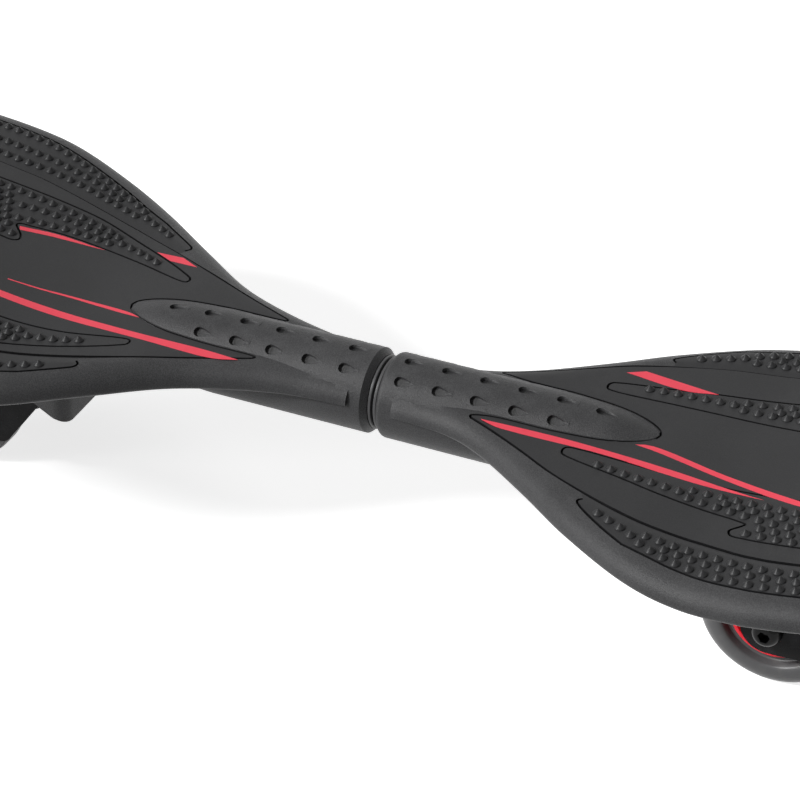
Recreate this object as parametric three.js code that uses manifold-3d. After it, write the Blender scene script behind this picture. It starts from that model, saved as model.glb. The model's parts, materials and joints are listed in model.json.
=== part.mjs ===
// A caster board: two moulded decks on one twisting neck, each on a slanted inline caster.
// Millimetres. +X runs along the board towards the nose, +Y across it, +Z up.
// The origin is on the floor, midway along the board.
import * as THREE from "three";
import { mergeVertices } from "three/addons/utils/BufferGeometryUtils.js";
import Module from "manifold-3d";

const wasm = await Module();
wasm.setup();

// Clearances shared by all pieces
const seat_gap = 0.3; // between pieces that are seated on or in each other
const running_gap = 0.5; // between faces that turn against each other
const overrun = 3; // how far a cut runs past the face it opens

// Decks. Along a deck, places are measured from the middle of the neck.
// flare_shares: [share of widest_at, share of half the width] along the side, up to the widest place.
const rear_deck = {
  name: "rear",
  side: -1,
  length: 432,
  width: 250,
  widest_at: 285,
  pad_at: 192,
  kick: { from: 150, run: 155, rise: 15 },
  flare_shares: [
    [0.235, 0.254],
    [0.34, 0.355],
    [0.456, 0.534],
    [0.579, 0.727],
    [0.702, 0.87],
    [0.842, 0.974],
    [1, 1],
  ],
};
const front_deck = {
  name: "front",
  side: 1,
  length: 432,
  width: 213,
  widest_at: 213,
  pad_at: 255,
  kick: { from: 162, run: 240, rise: 30 },
  flare_shares: [
    [0.291, 0.317],
    [0.432, 0.504],
    [0.563, 0.694],
    [0.728, 0.886],
    [0.869, 0.976],
    [1, 1],
  ],
};
const shell = {
  top_above_axis: 14.3, // flat standing face, above the neck's axis
  wall: 4,
  rim_reach: 13, // how far in from the edge the rim starts to roll
  rim_roll: 10, // how far it drops before it turns back in
  rim_skirt: 3, // from there down to the rim's lower edge
  rim_tuck: 3, // how far the lower edge turns back in
  cavity_from: 74, // where the hollow underside starts
};
const wing = {
  // The rim's tail that runs out along the neck and ends in a small step
  from: 11.6,
  mid: 40,
  proud_at_end: 1.3,
  proud_at_mid: 3.9,
  drop_at_end: 1.4,
  skirt_share_at_end: 0.1,
  blend_run: 50,
};
// [share of the tuck, share of the skirt's height] up the rim's lower edge
const skirt_shares = [
  [1, 0],
  [0.3, 0.5],
];
const rib = { thickness: 2.6, pitch: 60, recess: 1.2, first_at: 130 };

// Neck
const neck = {
  diameter: 42,
  end_diameter: 36.4,
  chamfer: 2.9,
  leaf_full_to: 90, // where the raised leaf on the deck starts to narrow
  leaf_end: 139,
  bore_end: 124,
};
// [share of the run from leaf_full_to to leaf_end, share of the drop from the neck's radius to the deck's face]
const leaf_shares = [
  [0, 0],
  [0.27, 0.1],
  [0.52, 0.28],
  [0.73, 0.5],
  [0.9, 0.8],
  [1, 1],
];
const bush = { flange_diameter: 36.2, flange: 1.8, outside: 34, length: 22 };
const pivot_tube = { diameter: 28, bore: 22, rear_reach: 98, front_reach: 66 };
const torsion_bar = { diameter: 6.5, square: 7.5, square_length: 17, reach: 120 };
const anchor = { diameter: 27.4, length: 16, hole_slack: 0.35 };
const anchor_screw = {
  diameter: 5,
  head_diameter: 10,
  head: 3.2,
  boss_diameter: 17,
  boss_proud: 2, // of the neck, below it
};

// Casters. Depths are measured down the swivel's axis from the pad's face.
const caster = {
  lean_deg: 30, // the axis leans forward by this, seen from the side
  offset: 30, // from the swivel's axis back to the axle
  pad_drop: 31, // from the neck's axis down to the middle of the pad's face
  crown_clearance: 4.5, // from the crown to the tyre
};
const pad = { length: 66, width: 60, corner: 8, flare: 10 };
const plate = { length: 60, width: 54, thickness: 3.5, corner: 6, screw_inset: 7.5 };
const plate_screw = { diameter: 4.6, head_diameter: 8.6, head: 2.6, length: 16 };
const race = {
  diameter: 40,
  bore: 18,
  thickness: 2,
  groove: 1,
  groove_width: 3.8,
  groove_floor_width: 2,
};
const balls = { count: 10, diameter: 4.2, circle: 31, space: 2.8, cage: 1.2, cage_width: 5 };
const kingpin = { diameter: 10, head_diameter: 17, head: 5.6, tail: 1.4 };
const kingpin_nut = { across_corners: 18.4, height: 6 };
const washer = { diameter: 19, thickness: 1.4 };
const fork = {
  crown: 4,
  crown_front: 21,
  crown_back: 27,
  arm: 3.5,
  arm_gap: 28, // between the arms
  eye_radius: 13.5,
  cheek_reach: 34,
  cheek_radius: 9,
  cheek_deg: 32.7,
  arm_front: 14,
};

// Wheels
const wheel = { diameter: 76, tyre_width: 24, facets: 40 };
const tyre_profile = {
  seat_radius: 21.3,
  seat_width: 19,
  dish_radius: 25, // where the sunk ring round the hub ends
  dish_width: 20.2,
  crest_radius: 29, // where the tyre is widest
  tread_width: 7,
};
const hub = {
  radius: 21,
  rim: 2.2,
  rim_width: 20.4,
  width: 24,
  boss_radius: 13.6,
  web: 2.4,
  spokes: 6,
  spoke: 4.2,
  spoke_width: 15,
  seat_lip: 1.6,
};
const bearing = { diameter: 22, bore: 8.6, width: 7, inner: 12, outer: 18.6, shield_sink: 0.6 };
const sleeve = { diameter: 12 };
const spacer = { diameter: 12.4 };
const axle_bolt = {
  diameter: 8,
  head_diameter: 15,
  head: 5.6,
  face_share: 0.5,
  socket: 6.6,
  socket_depth: 3,
  tail: 1.2,
};
const axle_nut = { across_corners: 15, height: 6.4 };

const smooth = { neck: 40, bush: 30, medium: 24, small: 16, tiny: 10 };
const steps_of = {
  tip: 10,
  roll: 4,
  corner: 4,
  arm: 8,
  ball: 6,
  ball_rings: 4,
  tyre_flank: 4,
  bolt_dome: 5,
};
const weld = 1e-4; // vertices closer than this are one

// Materials, one for each finish
const finish = (color, roughness, metalness) =>
  new THREE.MeshStandardMaterial({ color, roughness, metalness });
const materials = {
  deck: finish(0x444444, 0.62, 0),
  bush: finish(0x5a5a5a, 0.5, 0),
  steel: finish(0xb8bac0, 0.35, 1),
  black_steel: finish(0x161616, 0.45, 0.6),
  tyre: finish(0x3a3a3b, 0.75, 0),
  hub: finish(0xe6293c, 0.4, 0),
};

// Solids

function signedVolume(positions, triangles) {
  const a = new THREE.Vector3();
  const b = new THREE.Vector3();
  const c = new THREE.Vector3();
  let six_volumes = 0;
  for (let i = 0; i < triangles.length; i += 3) {
    a.fromArray(positions, 3 * triangles[i]);
    b.fromArray(positions, 3 * triangles[i + 1]);
    c.fromArray(positions, 3 * triangles[i + 2]);
    six_volumes += a.dot(b.cross(c));
  }
  return six_volumes;
}

// A solid of a closed geometry, its faces turned outwards.
function solid(geometry, matrix) {
  const bare = geometry.clone();
  bare.deleteAttribute("normal");
  bare.deleteAttribute("uv");
  if (matrix) bare.applyMatrix4(matrix);
  const merged = mergeVertices(bare, weld);
  const positions = merged.attributes.position.array;
  const index = merged.index.array;
  const kept = [];
  for (let i = 0; i < index.length; i += 3) {
    const [a, b, c] = [index[i], index[i + 1], index[i + 2]];
    if (a !== b && b !== c && c !== a) kept.push(a, b, c);
  }
  if (signedVolume(positions, kept) < 0) kept.reverse();
  return new wasm.Manifold(
    new wasm.Mesh({ numProp: 3, vertProperties: positions, triVerts: new Uint32Array(kept) }),
  );
}

const join = (...solids) => solids.reduce((whole, piece) => whole.add(piece));
const cut = (whole, ...tools) => tools.reduce((left, tool) => left.subtract(tool), whole);

function geometryOf(piece) {
  const { numProp, numVert, vertProperties, triVerts } = piece.getMesh();
  const positions = new Float32Array(3 * numVert);
  for (let i = 0; i < numVert; i++)
    positions.set(vertProperties.subarray(i * numProp, i * numProp + 3), 3 * i);
  const geometry = new THREE.BufferGeometry();
  geometry.setAttribute("position", new THREE.BufferAttribute(positions, 3));
  geometry.setIndex(new THREE.BufferAttribute(new Uint32Array(triVerts), 1));
  geometry.computeVertexNormals();
  return geometry;
}

function addPiece(group, name, piece, material) {
  const mesh = new THREE.Mesh(geometryOf(piece), material);
  mesh.name = name;
  group.add(mesh);
  return mesh;
}

// Turning a lathe's own axis, +Y, onto another one
const about = {
  x: new THREE.Matrix4().makeRotationZ(-Math.PI / 2),
  y: new THREE.Matrix4(),
  z: new THREE.Matrix4().makeRotationX(Math.PI / 2),
};
const shifted = (x, y, z) => new THREE.Matrix4().makeTranslation(x, y, z);

// A revolved solid. Its profile is a list of [radius, place along the axis].
function turned(profile, segments, axis, matrix) {
  const points = profile.map(([radius, place]) => new THREE.Vector2(radius, place));
  const geometry = new THREE.LatheGeometry(points, segments);
  return solid(geometry.applyMatrix4(about[axis]), matrix);
}

const rod = (radius, from, to, segments, axis, matrix) =>
  turned([[0, from], [radius, from], [radius, to], [0, to]], segments, axis, matrix);

const ring = (inner, outer, from, to, segments, axis, matrix) =>
  turned(
    [[inner, from], [outer, from], [outer, to], [inner, to], [inner, from]],
    segments,
    axis,
    matrix,
  );

const hexagon = (corner_radius, from, to, axis, matrix) => rod(corner_radius, from, to, 6, axis, matrix);

function block(low, high, matrix) {
  const size = new THREE.Vector3().subVectors(high, low);
  const middle = new THREE.Vector3().addVectors(high, low).divideScalar(2);
  const geometry = new THREE.BoxGeometry(size.x, size.y, size.z);
  geometry.translate(middle.x, middle.y, middle.z);
  return solid(geometry, matrix);
}

const at = (x, y, z) => new THREE.Vector3(x, y, z);

// Closed skin over rings that all have the same number of points
function skinned(rings, caps) {
  const count = rings[0].length;
  const positions = rings.flat().flatMap((point) => point.toArray());
  const triangles = [];
  for (let k = 0; k + 1 < rings.length; k++)
    for (let i = 0; i < count; i++) {
      const next = (i + 1) % count;
      const [a, b] = [k * count + i, k * count + next];
      triangles.push(a, b, b + count, a, b + count, a + count);
    }
  const last = (rings.length - 1) * count;
  for (const [a, b, c] of caps) {
    triangles.push(a, c, b);
    triangles.push(last + a, last + b, last + c);
  }
  const geometry = new THREE.BufferGeometry();
  geometry.setAttribute("position", new THREE.Float32BufferAttribute(positions, 3));
  geometry.setIndex(triangles);
  return solid(geometry);
}

// Deck outline

const neck_radius = neck.diameter / 2;
const ease = (share) => {
  const t = Math.min(Math.max(share, 0), 1);
  return t * t * (3 - 2 * t);
};

// Half of a deck's outline, from the wing's end to the tip: points of [along, half width].
function halfOutline(deck) {
  const half_width = deck.width / 2;
  const flare = new THREE.SplineCurve([
    new THREE.Vector2(wing.from, neck_radius + wing.proud_at_end),
    new THREE.Vector2(wing.mid, neck_radius + wing.proud_at_mid),
    ...deck.flare_shares.map(
      ([along, across]) => new THREE.Vector2(along * deck.widest_at, across * half_width),
    ),
  ]);
  const points = flare.getPoints(2 * (flare.points.length - 1));
  const run = deck.length - deck.widest_at;
  for (let i = 1; i <= steps_of.tip; i++) {
    const angle = (i / steps_of.tip) * (Math.PI / 2);
    points.push(
      new THREE.Vector2(deck.widest_at + run * Math.sin(angle), half_width * Math.cos(angle)),
    );
  }
  points[points.length - 1].y = 0;
  return points;
}

// The outline moved inwards. The first point moves straight across and the tip straight back.
function insetOutline(outline, inset) {
  return outline.map((point, i) => {
    if (i === 0) return new THREE.Vector2(point.x, point.y - inset);
    if (i === outline.length - 1) return new THREE.Vector2(point.x - inset, 0);
    const along = new THREE.Vector2().subVectors(outline[i + 1], outline[i - 1]).normalize();
    return new THREE.Vector2(point.x + inset * along.y, Math.max(point.y - inset * along.x, 0));
  });
}

const wingShare = (along) => 1 - ease((along - wing.from) / wing.blend_run);

const topOfDeck = (deck, along) =>
  shell.top_above_axis +
  deck.kick.rise * ease((along - deck.kick.from) / deck.kick.run) -
  wing.drop_at_end * wingShare(along);

// The band below the roll, which runs out along the wing
const skirtHeight = (along) =>
  shell.rim_skirt * (1 - (1 - wing.skirt_share_at_end) * wingShare(along));

const footOfRim = (deck, along) => topOfDeck(deck, along) - shell.rim_roll - skirtHeight(along);

// A body whose outline is the deck's. Each level is [inset, height as a function of the place along].
function outlineBody(deck, outline, levels) {
  const rings = levels.map(([inset, height]) => {
    const half = insetOutline(outline, inset);
    const near = half.map((p) => at(deck.side * p.x, p.y, height(p.x)));
    const far = half
      .slice(0, -1)
      .reverse()
      .map((p) => at(deck.side * p.x, -p.y, height(p.x)));
    return [...near, ...far];
  });
  const tip = outline.length - 1;
  const caps = [];
  for (let i = 0; i < tip; i++) {
    const [far, next_far] = [2 * tip - i, 2 * tip - i - 1];
    caps.push([i, i + 1, far]);
    if (i + 1 < tip) caps.push([i + 1, next_far, far]);
  }
  return skinned(rings, caps);
}

function deckShell(deck) {
  const outline = halfOutline(deck);
  const skirt = skirt_shares.map(([tuck_share, height_share]) => [
    tuck_share * shell.rim_tuck,
    (along) => footOfRim(deck, along) + height_share * skirtHeight(along),
  ]);
  const roll = [];
  for (let i = 0; i <= steps_of.roll; i++) {
    const angle = (i / steps_of.roll) * (Math.PI / 2);
    roll.push([
      shell.rim_reach * (1 - Math.cos(angle)),
      (along) => topOfDeck(deck, along) - shell.rim_roll * (1 - Math.sin(angle)),
    ]);
  }
  const outer = outlineBody(deck, outline, [...skirt, ...roll]);

  const hollow = outline.filter((point) => point.x > shell.cavity_from);
  const cavity = outlineBody(deck, hollow, [
    [shell.wall + shell.rim_tuck, (along) => footOfRim(deck, along) - overrun],
    [shell.wall + shell.rim_tuck, (along) => footOfRim(deck, along)],
    [shell.wall + shell.rim_reach / 2, (along) => topOfDeck(deck, along) - shell.wall],
  ]);
  const rib_space = outlineBody(deck, hollow, [
    [shell.rim_tuck + shell.wall / 2, (along) => footOfRim(deck, along) + rib.recess],
    [shell.rim_reach / 2 + shell.wall / 2, (along) => topOfDeck(deck, along) - shell.wall / 2],
  ]);
  return cut(outer, cavity).add(deckRibs(deck).intersect(rib_space));
}

// A grid of ribs, longer than the deck, to be trimmed to its hollow.
function deckRibs(deck) {
  const low = -shell.rim_roll - shell.rim_skirt;
  const high = shell.top_above_axis + deck.kick.rise;
  const half = rib.thickness / 2;
  const ribs = [];
  for (let y = rib.pitch / 2; y < deck.width / 2; y += rib.pitch)
    for (const side of [-1, 1]) {
      const ends = [deck.side * shell.cavity_from, deck.side * deck.length].sort((a, b) => a - b);
      ribs.push(block(at(ends[0], side * y - half, low), at(ends[1], side * y + half, high)));
    }
  for (let along = rib.first_at; along < deck.length; along += rib.pitch) {
    const x = deck.side * along;
    ribs.push(block(at(x - half, -deck.width, low), at(x + half, deck.width, high)));
  }
  return join(...ribs);
}

// Neck and what is in it. Everything here lies on the neck's axis, X.

const collar_half = running_gap / 2;
const neck_end = collar_half + bush.flange + seat_gap;

function neckBody(deck) {
  const profile = [
    [0, neck_end],
    [neck.end_diameter / 2, neck_end],
    [neck_radius, neck_end + neck.chamfer],
  ];
  const run = neck.leaf_end - neck.leaf_full_to;
  const drop = neck_radius - shell.top_above_axis;
  for (const [along, down] of leaf_shares)
    profile.push([neck_radius - down * drop, neck.leaf_full_to + along * run]);
  profile.push([0, neck.leaf_end]);
  const placed = profile.map(([radius, along]) => [radius, deck.side * along]);
  return turned(placed, smooth.neck, "x");
}

function neckCuts(deck) {
  const s = deck.side;
  const bush_radius = bush.outside / 2 + seat_gap;
  const bush_end = collar_half + bush.flange + bush.length + seat_gap;
  const tube_radius = pivot_tube.diameter / 2 + seat_gap;
  return [
    rod(bush_radius, 0, s * bush_end, smooth.bush, "x"),
    rod(tube_radius, 0, s * neck.bore_end, smooth.bush, "x"),
    rod(
      anchor_screw.diameter / 2 + seat_gap,
      -boss_drop - overrun,
      0,
      smooth.tiny,
      "z",
      shifted(s * anchorPlace(), 0, 0),
    ),
  ];
}

const boss_drop = neck_radius + anchor_screw.boss_proud;
const anchorPlace = () => torsion_bar.reach - anchor.length / 2 - seat_gap;

function anchorBoss(deck) {
  return rod(
    anchor_screw.boss_diameter / 2,
    -boss_drop,
    -pivot_tube.diameter / 2 - seat_gap,
    smooth.medium,
    "z",
    shifted(deck.side * anchorPlace(), 0, 0),
  );
}

function bushSolid(side) {
  const inner = pivot_tube.diameter / 2 + seat_gap;
  const flange_end = collar_half + bush.flange;
  const profile = [
    [inner, collar_half],
    [bush.flange_diameter / 2, collar_half],
    [bush.flange_diameter / 2, flange_end],
    [bush.outside / 2, flange_end],
    [bush.outside / 2, flange_end + bush.length],
    [inner, flange_end + bush.length],
    [inner, collar_half],
  ];
  return turned(profile.map(([radius, along]) => [radius, side * along]), smooth.bush, "x");
}

function torsionBar() {
  const half = torsion_bar.square / 2;
  const inner = torsion_bar.reach - torsion_bar.square_length;
  const round = rod(torsion_bar.diameter / 2, -inner, inner, smooth.tiny, "x");
  return join(
    round,
    block(at(-torsion_bar.reach, -half, -half), at(-inner, half, half)),
    block(at(inner, -half, -half), at(torsion_bar.reach, half, half)),
  );
}

function anchorSolid(side) {
  const near = anchorPlace() - anchor.length / 2;
  const far = anchorPlace() + anchor.length / 2;
  const hole = torsion_bar.square / 2 + anchor.hole_slack;
  return cut(
    rod(anchor.diameter / 2, side * near, side * far, smooth.medium, "x"),
    block(
      at(side * anchorPlace() - anchor.length, -hole, -hole),
      at(side * anchorPlace() + anchor.length, hole, hole),
    ),
    rod(
      anchor_screw.diameter / 2 + seat_gap,
      -anchor.diameter,
      0,
      smooth.tiny,
      "z",
      shifted(side * anchorPlace(), 0, 0),
    ),
  );
}

// A round-headed screw, its head's seat at 0 and its shank pointing up the given axis.
const panScrew = (screw, length, segments) =>
  turned(
    [
      [0, -screw.head],
      [screw.head_diameter / 3, -screw.head],
      [screw.head_diameter / 2, -screw.head / 2],
      [screw.head_diameter / 2, 0],
      [screw.diameter / 2, 0],
      [screw.diameter / 2, length],
      [0, length],
    ],
    segments,
    "z",
  );

// Casters. Local frame: X forward in the pad's face, Y across, Z up the swivel's axis.

const lean = THREE.MathUtils.degToRad(caster.lean_deg);
const tyre_radius = wheel.diameter / 2;
const wheel_height = tyre_radius * Math.cos(Math.PI / wheel.facets);

const depth = {};
depth.plate = seat_gap;
depth.upper_race = depth.plate + plate.thickness + seat_gap;
depth.ball_space = depth.upper_race + race.thickness;
depth.lower_race = depth.ball_space + balls.space;
depth.crown = depth.lower_race + race.thickness + seat_gap;
depth.washer = depth.crown + fork.crown + seat_gap;
depth.nut = depth.washer + washer.thickness + seat_gap;
depth.kingpin_end = depth.nut + kingpin_nut.height + kingpin.tail;
depth.axle = depth.crown + fork.crown + caster.crown_clearance + tyre_radius;

const axle_to_pad = {
  x: depth.axle * Math.sin(lean) + caster.offset * Math.cos(lean),
  z: depth.axle * Math.cos(lean) - caster.offset * Math.sin(lean),
};
const axis_height = wheel_height + axle_to_pad.z + caster.pad_drop;

function padMatrix(deck) {
  return new THREE.Matrix4()
    .makeTranslation(deck.side * deck.pad_at, 0, -caster.pad_drop)
    .multiply(new THREE.Matrix4().makeRotationY(lean));
}

// Corner points of a rounded rectangle, the same number for every size.
function roundedRectangle(length, width, corner) {
  const points = [];
  for (let quarter = 0; quarter < 4; quarter++) {
    const sign_x = quarter === 0 || quarter === 3 ? 1 : -1;
    const sign_y = quarter < 2 ? 1 : -1;
    for (let i = 0; i <= steps_of.corner; i++) {
      const angle = (quarter + i / steps_of.corner) * (Math.PI / 2);
      points.push([
        sign_x * (length / 2 - corner) + corner * Math.cos(angle),
        sign_y * (width / 2 - corner) + corner * Math.sin(angle),
      ]);
    }
  }
  return points;
}

const fan = (count) => Array.from({ length: count - 2 }, (_, i) => [0, i + 1, i + 2]);

// The block under a deck whose lower face is square to the swivel's axis
function padBody(deck) {
  const matrix = padMatrix(deck);
  const foot = roundedRectangle(pad.length, pad.width, pad.corner);
  const low = foot.map(([x, y]) => at(x, y, 0).applyMatrix4(matrix));
  const head_length = pad.length * Math.cos(lean) + 2 * pad.flare;
  const head = roundedRectangle(head_length, pad.width + 2 * pad.flare, pad.corner);
  const high = head.map(([x, y]) => {
    const along = deck.pad_at + deck.side * x;
    return at(deck.side * along, y, topOfDeck(deck, along) - shell.wall / 2);
  });
  return skinned([low, high], fan(foot.length));
}

const screwPlaces = () =>
  [1, -1].flatMap((x) =>
    [1, -1].map((y) => [
      x * (plate.length / 2 - plate.screw_inset),
      y * (plate.width / 2 - plate.screw_inset),
    ]),
  );

function padCuts(deck) {
  const matrix = padMatrix(deck);
  const head_radius = kingpin.head_diameter / 2 + seat_gap;
  const cuts = [
    rod(head_radius, -overrun, kingpin.head + seat_gap, smooth.small, "z", matrix),
  ];
  for (const [x, y] of screwPlaces())
    cuts.push(
      rod(
        plate_screw.diameter / 2 + seat_gap,
        -overrun,
        plate_screw.length,
        smooth.tiny,
        "z",
        matrix.clone().multiply(shifted(x, y, 0)),
      ),
    );
  return cuts;
}

function deckSolid(deck) {
  const body = join(deckShell(deck), neckBody(deck), anchorBoss(deck), padBody(deck));
  return cut(body, ...neckCuts(deck), ...padCuts(deck));
}

function roundedPlate(length, width, corner, from, to) {
  const shape = new THREE.Shape(
    roundedRectangle(length, width, corner).map(([x, y]) => new THREE.Vector2(x, y)),
  );
  const geometry = new THREE.ExtrudeGeometry(shape, { depth: to - from, bevelEnabled: false });
  return solid(geometry, shifted(0, 0, from));
}

const boss_radius = race.bore / 2 - seat_gap;
const kingpin_hole = kingpin.diameter / 2 + seat_gap;

function basePlate() {
  const top = -depth.plate;
  const bottom = top - plate.thickness;
  const holes = screwPlaces().map(([x, y]) =>
    rod(
      plate_screw.diameter / 2 + seat_gap,
      bottom - overrun,
      top + overrun,
      smooth.tiny,
      "z",
      shifted(x, y, 0),
    ),
  );
  return cut(
    roundedPlate(plate.length, plate.width, plate.corner, bottom, top).add(
      rod(boss_radius, -depth.ball_space, top, smooth.small, "z"),
    ),
    rod(kingpin_hole, -depth.ball_space - overrun, top + overrun, smooth.small, "z"),
    ...holes,
  );
}

// A race with a groove for the balls. Its flat back is at the depth given, its face one thickness away.
function raceSolid(back, facing) {
  const middle = balls.circle / 2;
  const face = back + facing * race.thickness;
  const floor = face - facing * race.groove;
  const profile = [
    [race.bore / 2, back],
    [race.diameter / 2, back],
    [race.diameter / 2, face],
    [middle + race.groove_width / 2, face],
    [middle + race.groove_floor_width / 2, floor],
    [middle - race.groove_floor_width / 2, floor],
    [middle - race.groove_width / 2, face],
    [race.bore / 2, face],
    [race.bore / 2, back],
  ];
  return turned(profile.map(([radius, down]) => [radius, -down]), smooth.medium, "z");
}

function ballRing() {
  const centre = -(depth.ball_space + balls.space / 2);
  const half = balls.cage / 2;
  const middle = balls.circle / 2;
  let cage = ring(
    middle - balls.cage_width / 2,
    middle + balls.cage_width / 2,
    centre - half,
    centre + half,
    smooth.medium,
    "z",
  );
  for (let i = 0; i < balls.count; i++) {
    const angle = (i / balls.count) * 2 * Math.PI;
    const ball = new THREE.SphereGeometry(balls.diameter / 2, steps_of.ball, steps_of.ball_rings);
    ball.rotateX(Math.PI / 2);
    const place = shifted(middle * Math.cos(angle), middle * Math.sin(angle), centre);
    cage = cage.add(solid(ball, place));
  }
  return cage;
}

const kingpinSolid = () =>
  turned(
    [
      [0, kingpin.head],
      [kingpin.head_diameter / 2 - kingpin.tail, kingpin.head],
      [kingpin.head_diameter / 2, kingpin.head - kingpin.tail],
      [kingpin.head_diameter / 2, 0],
      [kingpin.diameter / 2, 0],
      [kingpin.diameter / 2, -depth.kingpin_end],
      [0, -depth.kingpin_end],
    ],
    smooth.small,
    "z",
  );

function nutSolid(corner_radius, hole_radius, from, to, axis) {
  return cut(
    hexagon(corner_radius, from, to, axis),
    rod(hole_radius, from - overrun, to + overrun, smooth.small, axis),
  );
}

// One arm of the fork, seen from the side: the eye round the axle, a rounded front corner and the crown.
function armShape() {
  const eye = new THREE.Vector2(-caster.offset, -depth.axle);
  const slope = THREE.MathUtils.degToRad(fork.cheek_deg);
  const along = new THREE.Vector2(Math.cos(slope), Math.sin(slope));
  const down = new THREE.Vector2(Math.sin(slope), -Math.cos(slope));
  const corner = eye
    .clone()
    .addScaledVector(along, fork.cheek_reach)
    .addScaledVector(down, fork.eye_radius - fork.cheek_radius);
  const crown_front = new THREE.Vector2(fork.arm_front, -depth.crown);
  const crown_back = new THREE.Vector2(-fork.crown_back, -depth.crown);
  const tangent = (point, centre, radius, side) => {
    const arm = new THREE.Vector2().subVectors(point, centre);
    return arm.angle() + side * Math.acos(radius / arm.length());
  };
  const back_angle = tangent(crown_back, eye, fork.eye_radius, 1);
  const front_angle = tangent(crown_front, corner, fork.cheek_radius, -1);
  const low_angle = slope - Math.PI / 2;
  const full_turn = 2 * Math.PI;
  const shape = new THREE.Shape();
  shape.moveTo(crown_front.x, crown_front.y);
  shape.lineTo(crown_back.x, crown_back.y);
  shape.absarc(eye.x, eye.y, fork.eye_radius, back_angle, low_angle + full_turn, false);
  const front = front_angle > Math.PI ? front_angle - full_turn : front_angle;
  shape.absarc(corner.x, corner.y, fork.cheek_radius, low_angle, front, false);
  return shape;
}

function forkSolid() {
  const arm_out = fork.arm_gap / 2 + fork.arm;
  const cheek = new THREE.ExtrudeGeometry(armShape(), {
    depth: fork.arm,
    bevelEnabled: false,
    curveSegments: steps_of.arm,
  });
  cheek.applyMatrix4(about.z);
  const crown_low = -depth.crown - fork.crown;
  const crown_disc = rod(fork.crown_front, crown_low, -depth.crown, smooth.medium, "z");
  const crown_back = block(
    at(-fork.crown_back, -arm_out, crown_low),
    at(fork.arm_front, arm_out, -depth.crown),
  );
  const boss = rod(boss_radius, -depth.crown, -depth.lower_race, smooth.small, "z");
  const axle_hole = rod(
    axle_bolt.diameter / 2 + seat_gap,
    -arm_out - overrun,
    arm_out + overrun,
    smooth.small,
    "y",
    shifted(-caster.offset, 0, -depth.axle),
  );
  return cut(
    join(
      crown_disc,
      crown_back,
      boss,
      solid(cheek, shifted(0, arm_out, 0)),
      solid(cheek, shifted(0, -fork.arm_gap / 2, 0)),
    ),
    rod(kingpin_hole, crown_low - overrun, -depth.lower_race + overrun, smooth.small, "z"),
    axle_hole,
  );
}

// Wheel pieces. Local frame: the axle is Y.

function tyreSolid() {
  const { seat_radius, seat_width, dish_radius, dish_width, crest_radius, tread_width } =
    tyre_profile;
  const flank = (wheel.tyre_width - tread_width) / 2;
  const side = [
    [seat_radius, seat_width / 2],
    [dish_radius, dish_width / 2],
  ];
  for (let i = 0; i <= steps_of.tyre_flank; i++) {
    const angle = (i / steps_of.tyre_flank) * (Math.PI / 2);
    side.push([
      crest_radius + (tyre_radius - crest_radius) * Math.sin(angle),
      tread_width / 2 + flank * Math.cos(angle),
    ]);
  }
  const other = side.map(([radius, y]) => [radius, -y]).reverse();
  return turned([...side, ...other, side[0]], wheel.facets, "y");
}

function hubSolid() {
  const half = hub.width / 2;
  const seat = bearing.diameter / 2 + seat_gap;
  const inner_rim = hub.radius - hub.rim;
  const seat_floor = half - seat_gap - bearing.width - seat_gap;
  const side = [
    [hub.radius, hub.rim_width / 2],
    [inner_rim, hub.rim_width / 2],
    [inner_rim, hub.web / 2],
    [hub.boss_radius, hub.web / 2],
    [hub.boss_radius, half],
    [seat, half],
    [seat, seat_floor],
    [seat - hub.seat_lip, seat_floor],
  ];
  const other = side.map(([radius, y]) => [radius, -y]).reverse();
  const body = turned([...side, ...other, side[0]], smooth.medium, "y");
  const spokes = [];
  for (let i = 0; i < hub.spokes; i++) {
    const turn = new THREE.Matrix4().makeRotationY((i / hub.spokes) * 2 * Math.PI);
    spokes.push(
      block(
        at(hub.boss_radius - hub.rim / 2, -hub.spoke_width / 2, -hub.spoke / 2),
        at(inner_rim + hub.rim / 2, hub.spoke_width / 2, hub.spoke / 2),
        turn,
      ),
    );
  }
  return join(body, ...spokes);
}

function bearingSolid(side) {
  const outside = hub.width / 2 - seat_gap;
  const inside = outside - bearing.width;
  const sunk = bearing.shield_sink;
  const profile = [
    [bearing.bore / 2, inside],
    [bearing.diameter / 2, inside],
    [bearing.diameter / 2, outside],
    [bearing.outer / 2, outside],
    [bearing.outer / 2, outside - sunk],
    [bearing.inner / 2, outside - sunk],
    [bearing.inner / 2, outside],
    [bearing.bore / 2, outside],
    [bearing.bore / 2, inside],
  ];
  return turned(profile.map(([radius, y]) => [radius, side * y]), smooth.small, "y");
}

function sleeveSolid() {
  const half = hub.width / 2 - seat_gap - bearing.width - seat_gap;
  return ring(bearing.bore / 2, sleeve.diameter / 2, -half, half, smooth.small, "y");
}

function spacerSolid(side) {
  const inside = hub.width / 2;
  const outside = fork.arm_gap / 2 - seat_gap;
  return ring(bearing.bore / 2, spacer.diameter / 2, side * inside, side * outside, smooth.small, "y");
}

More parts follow.
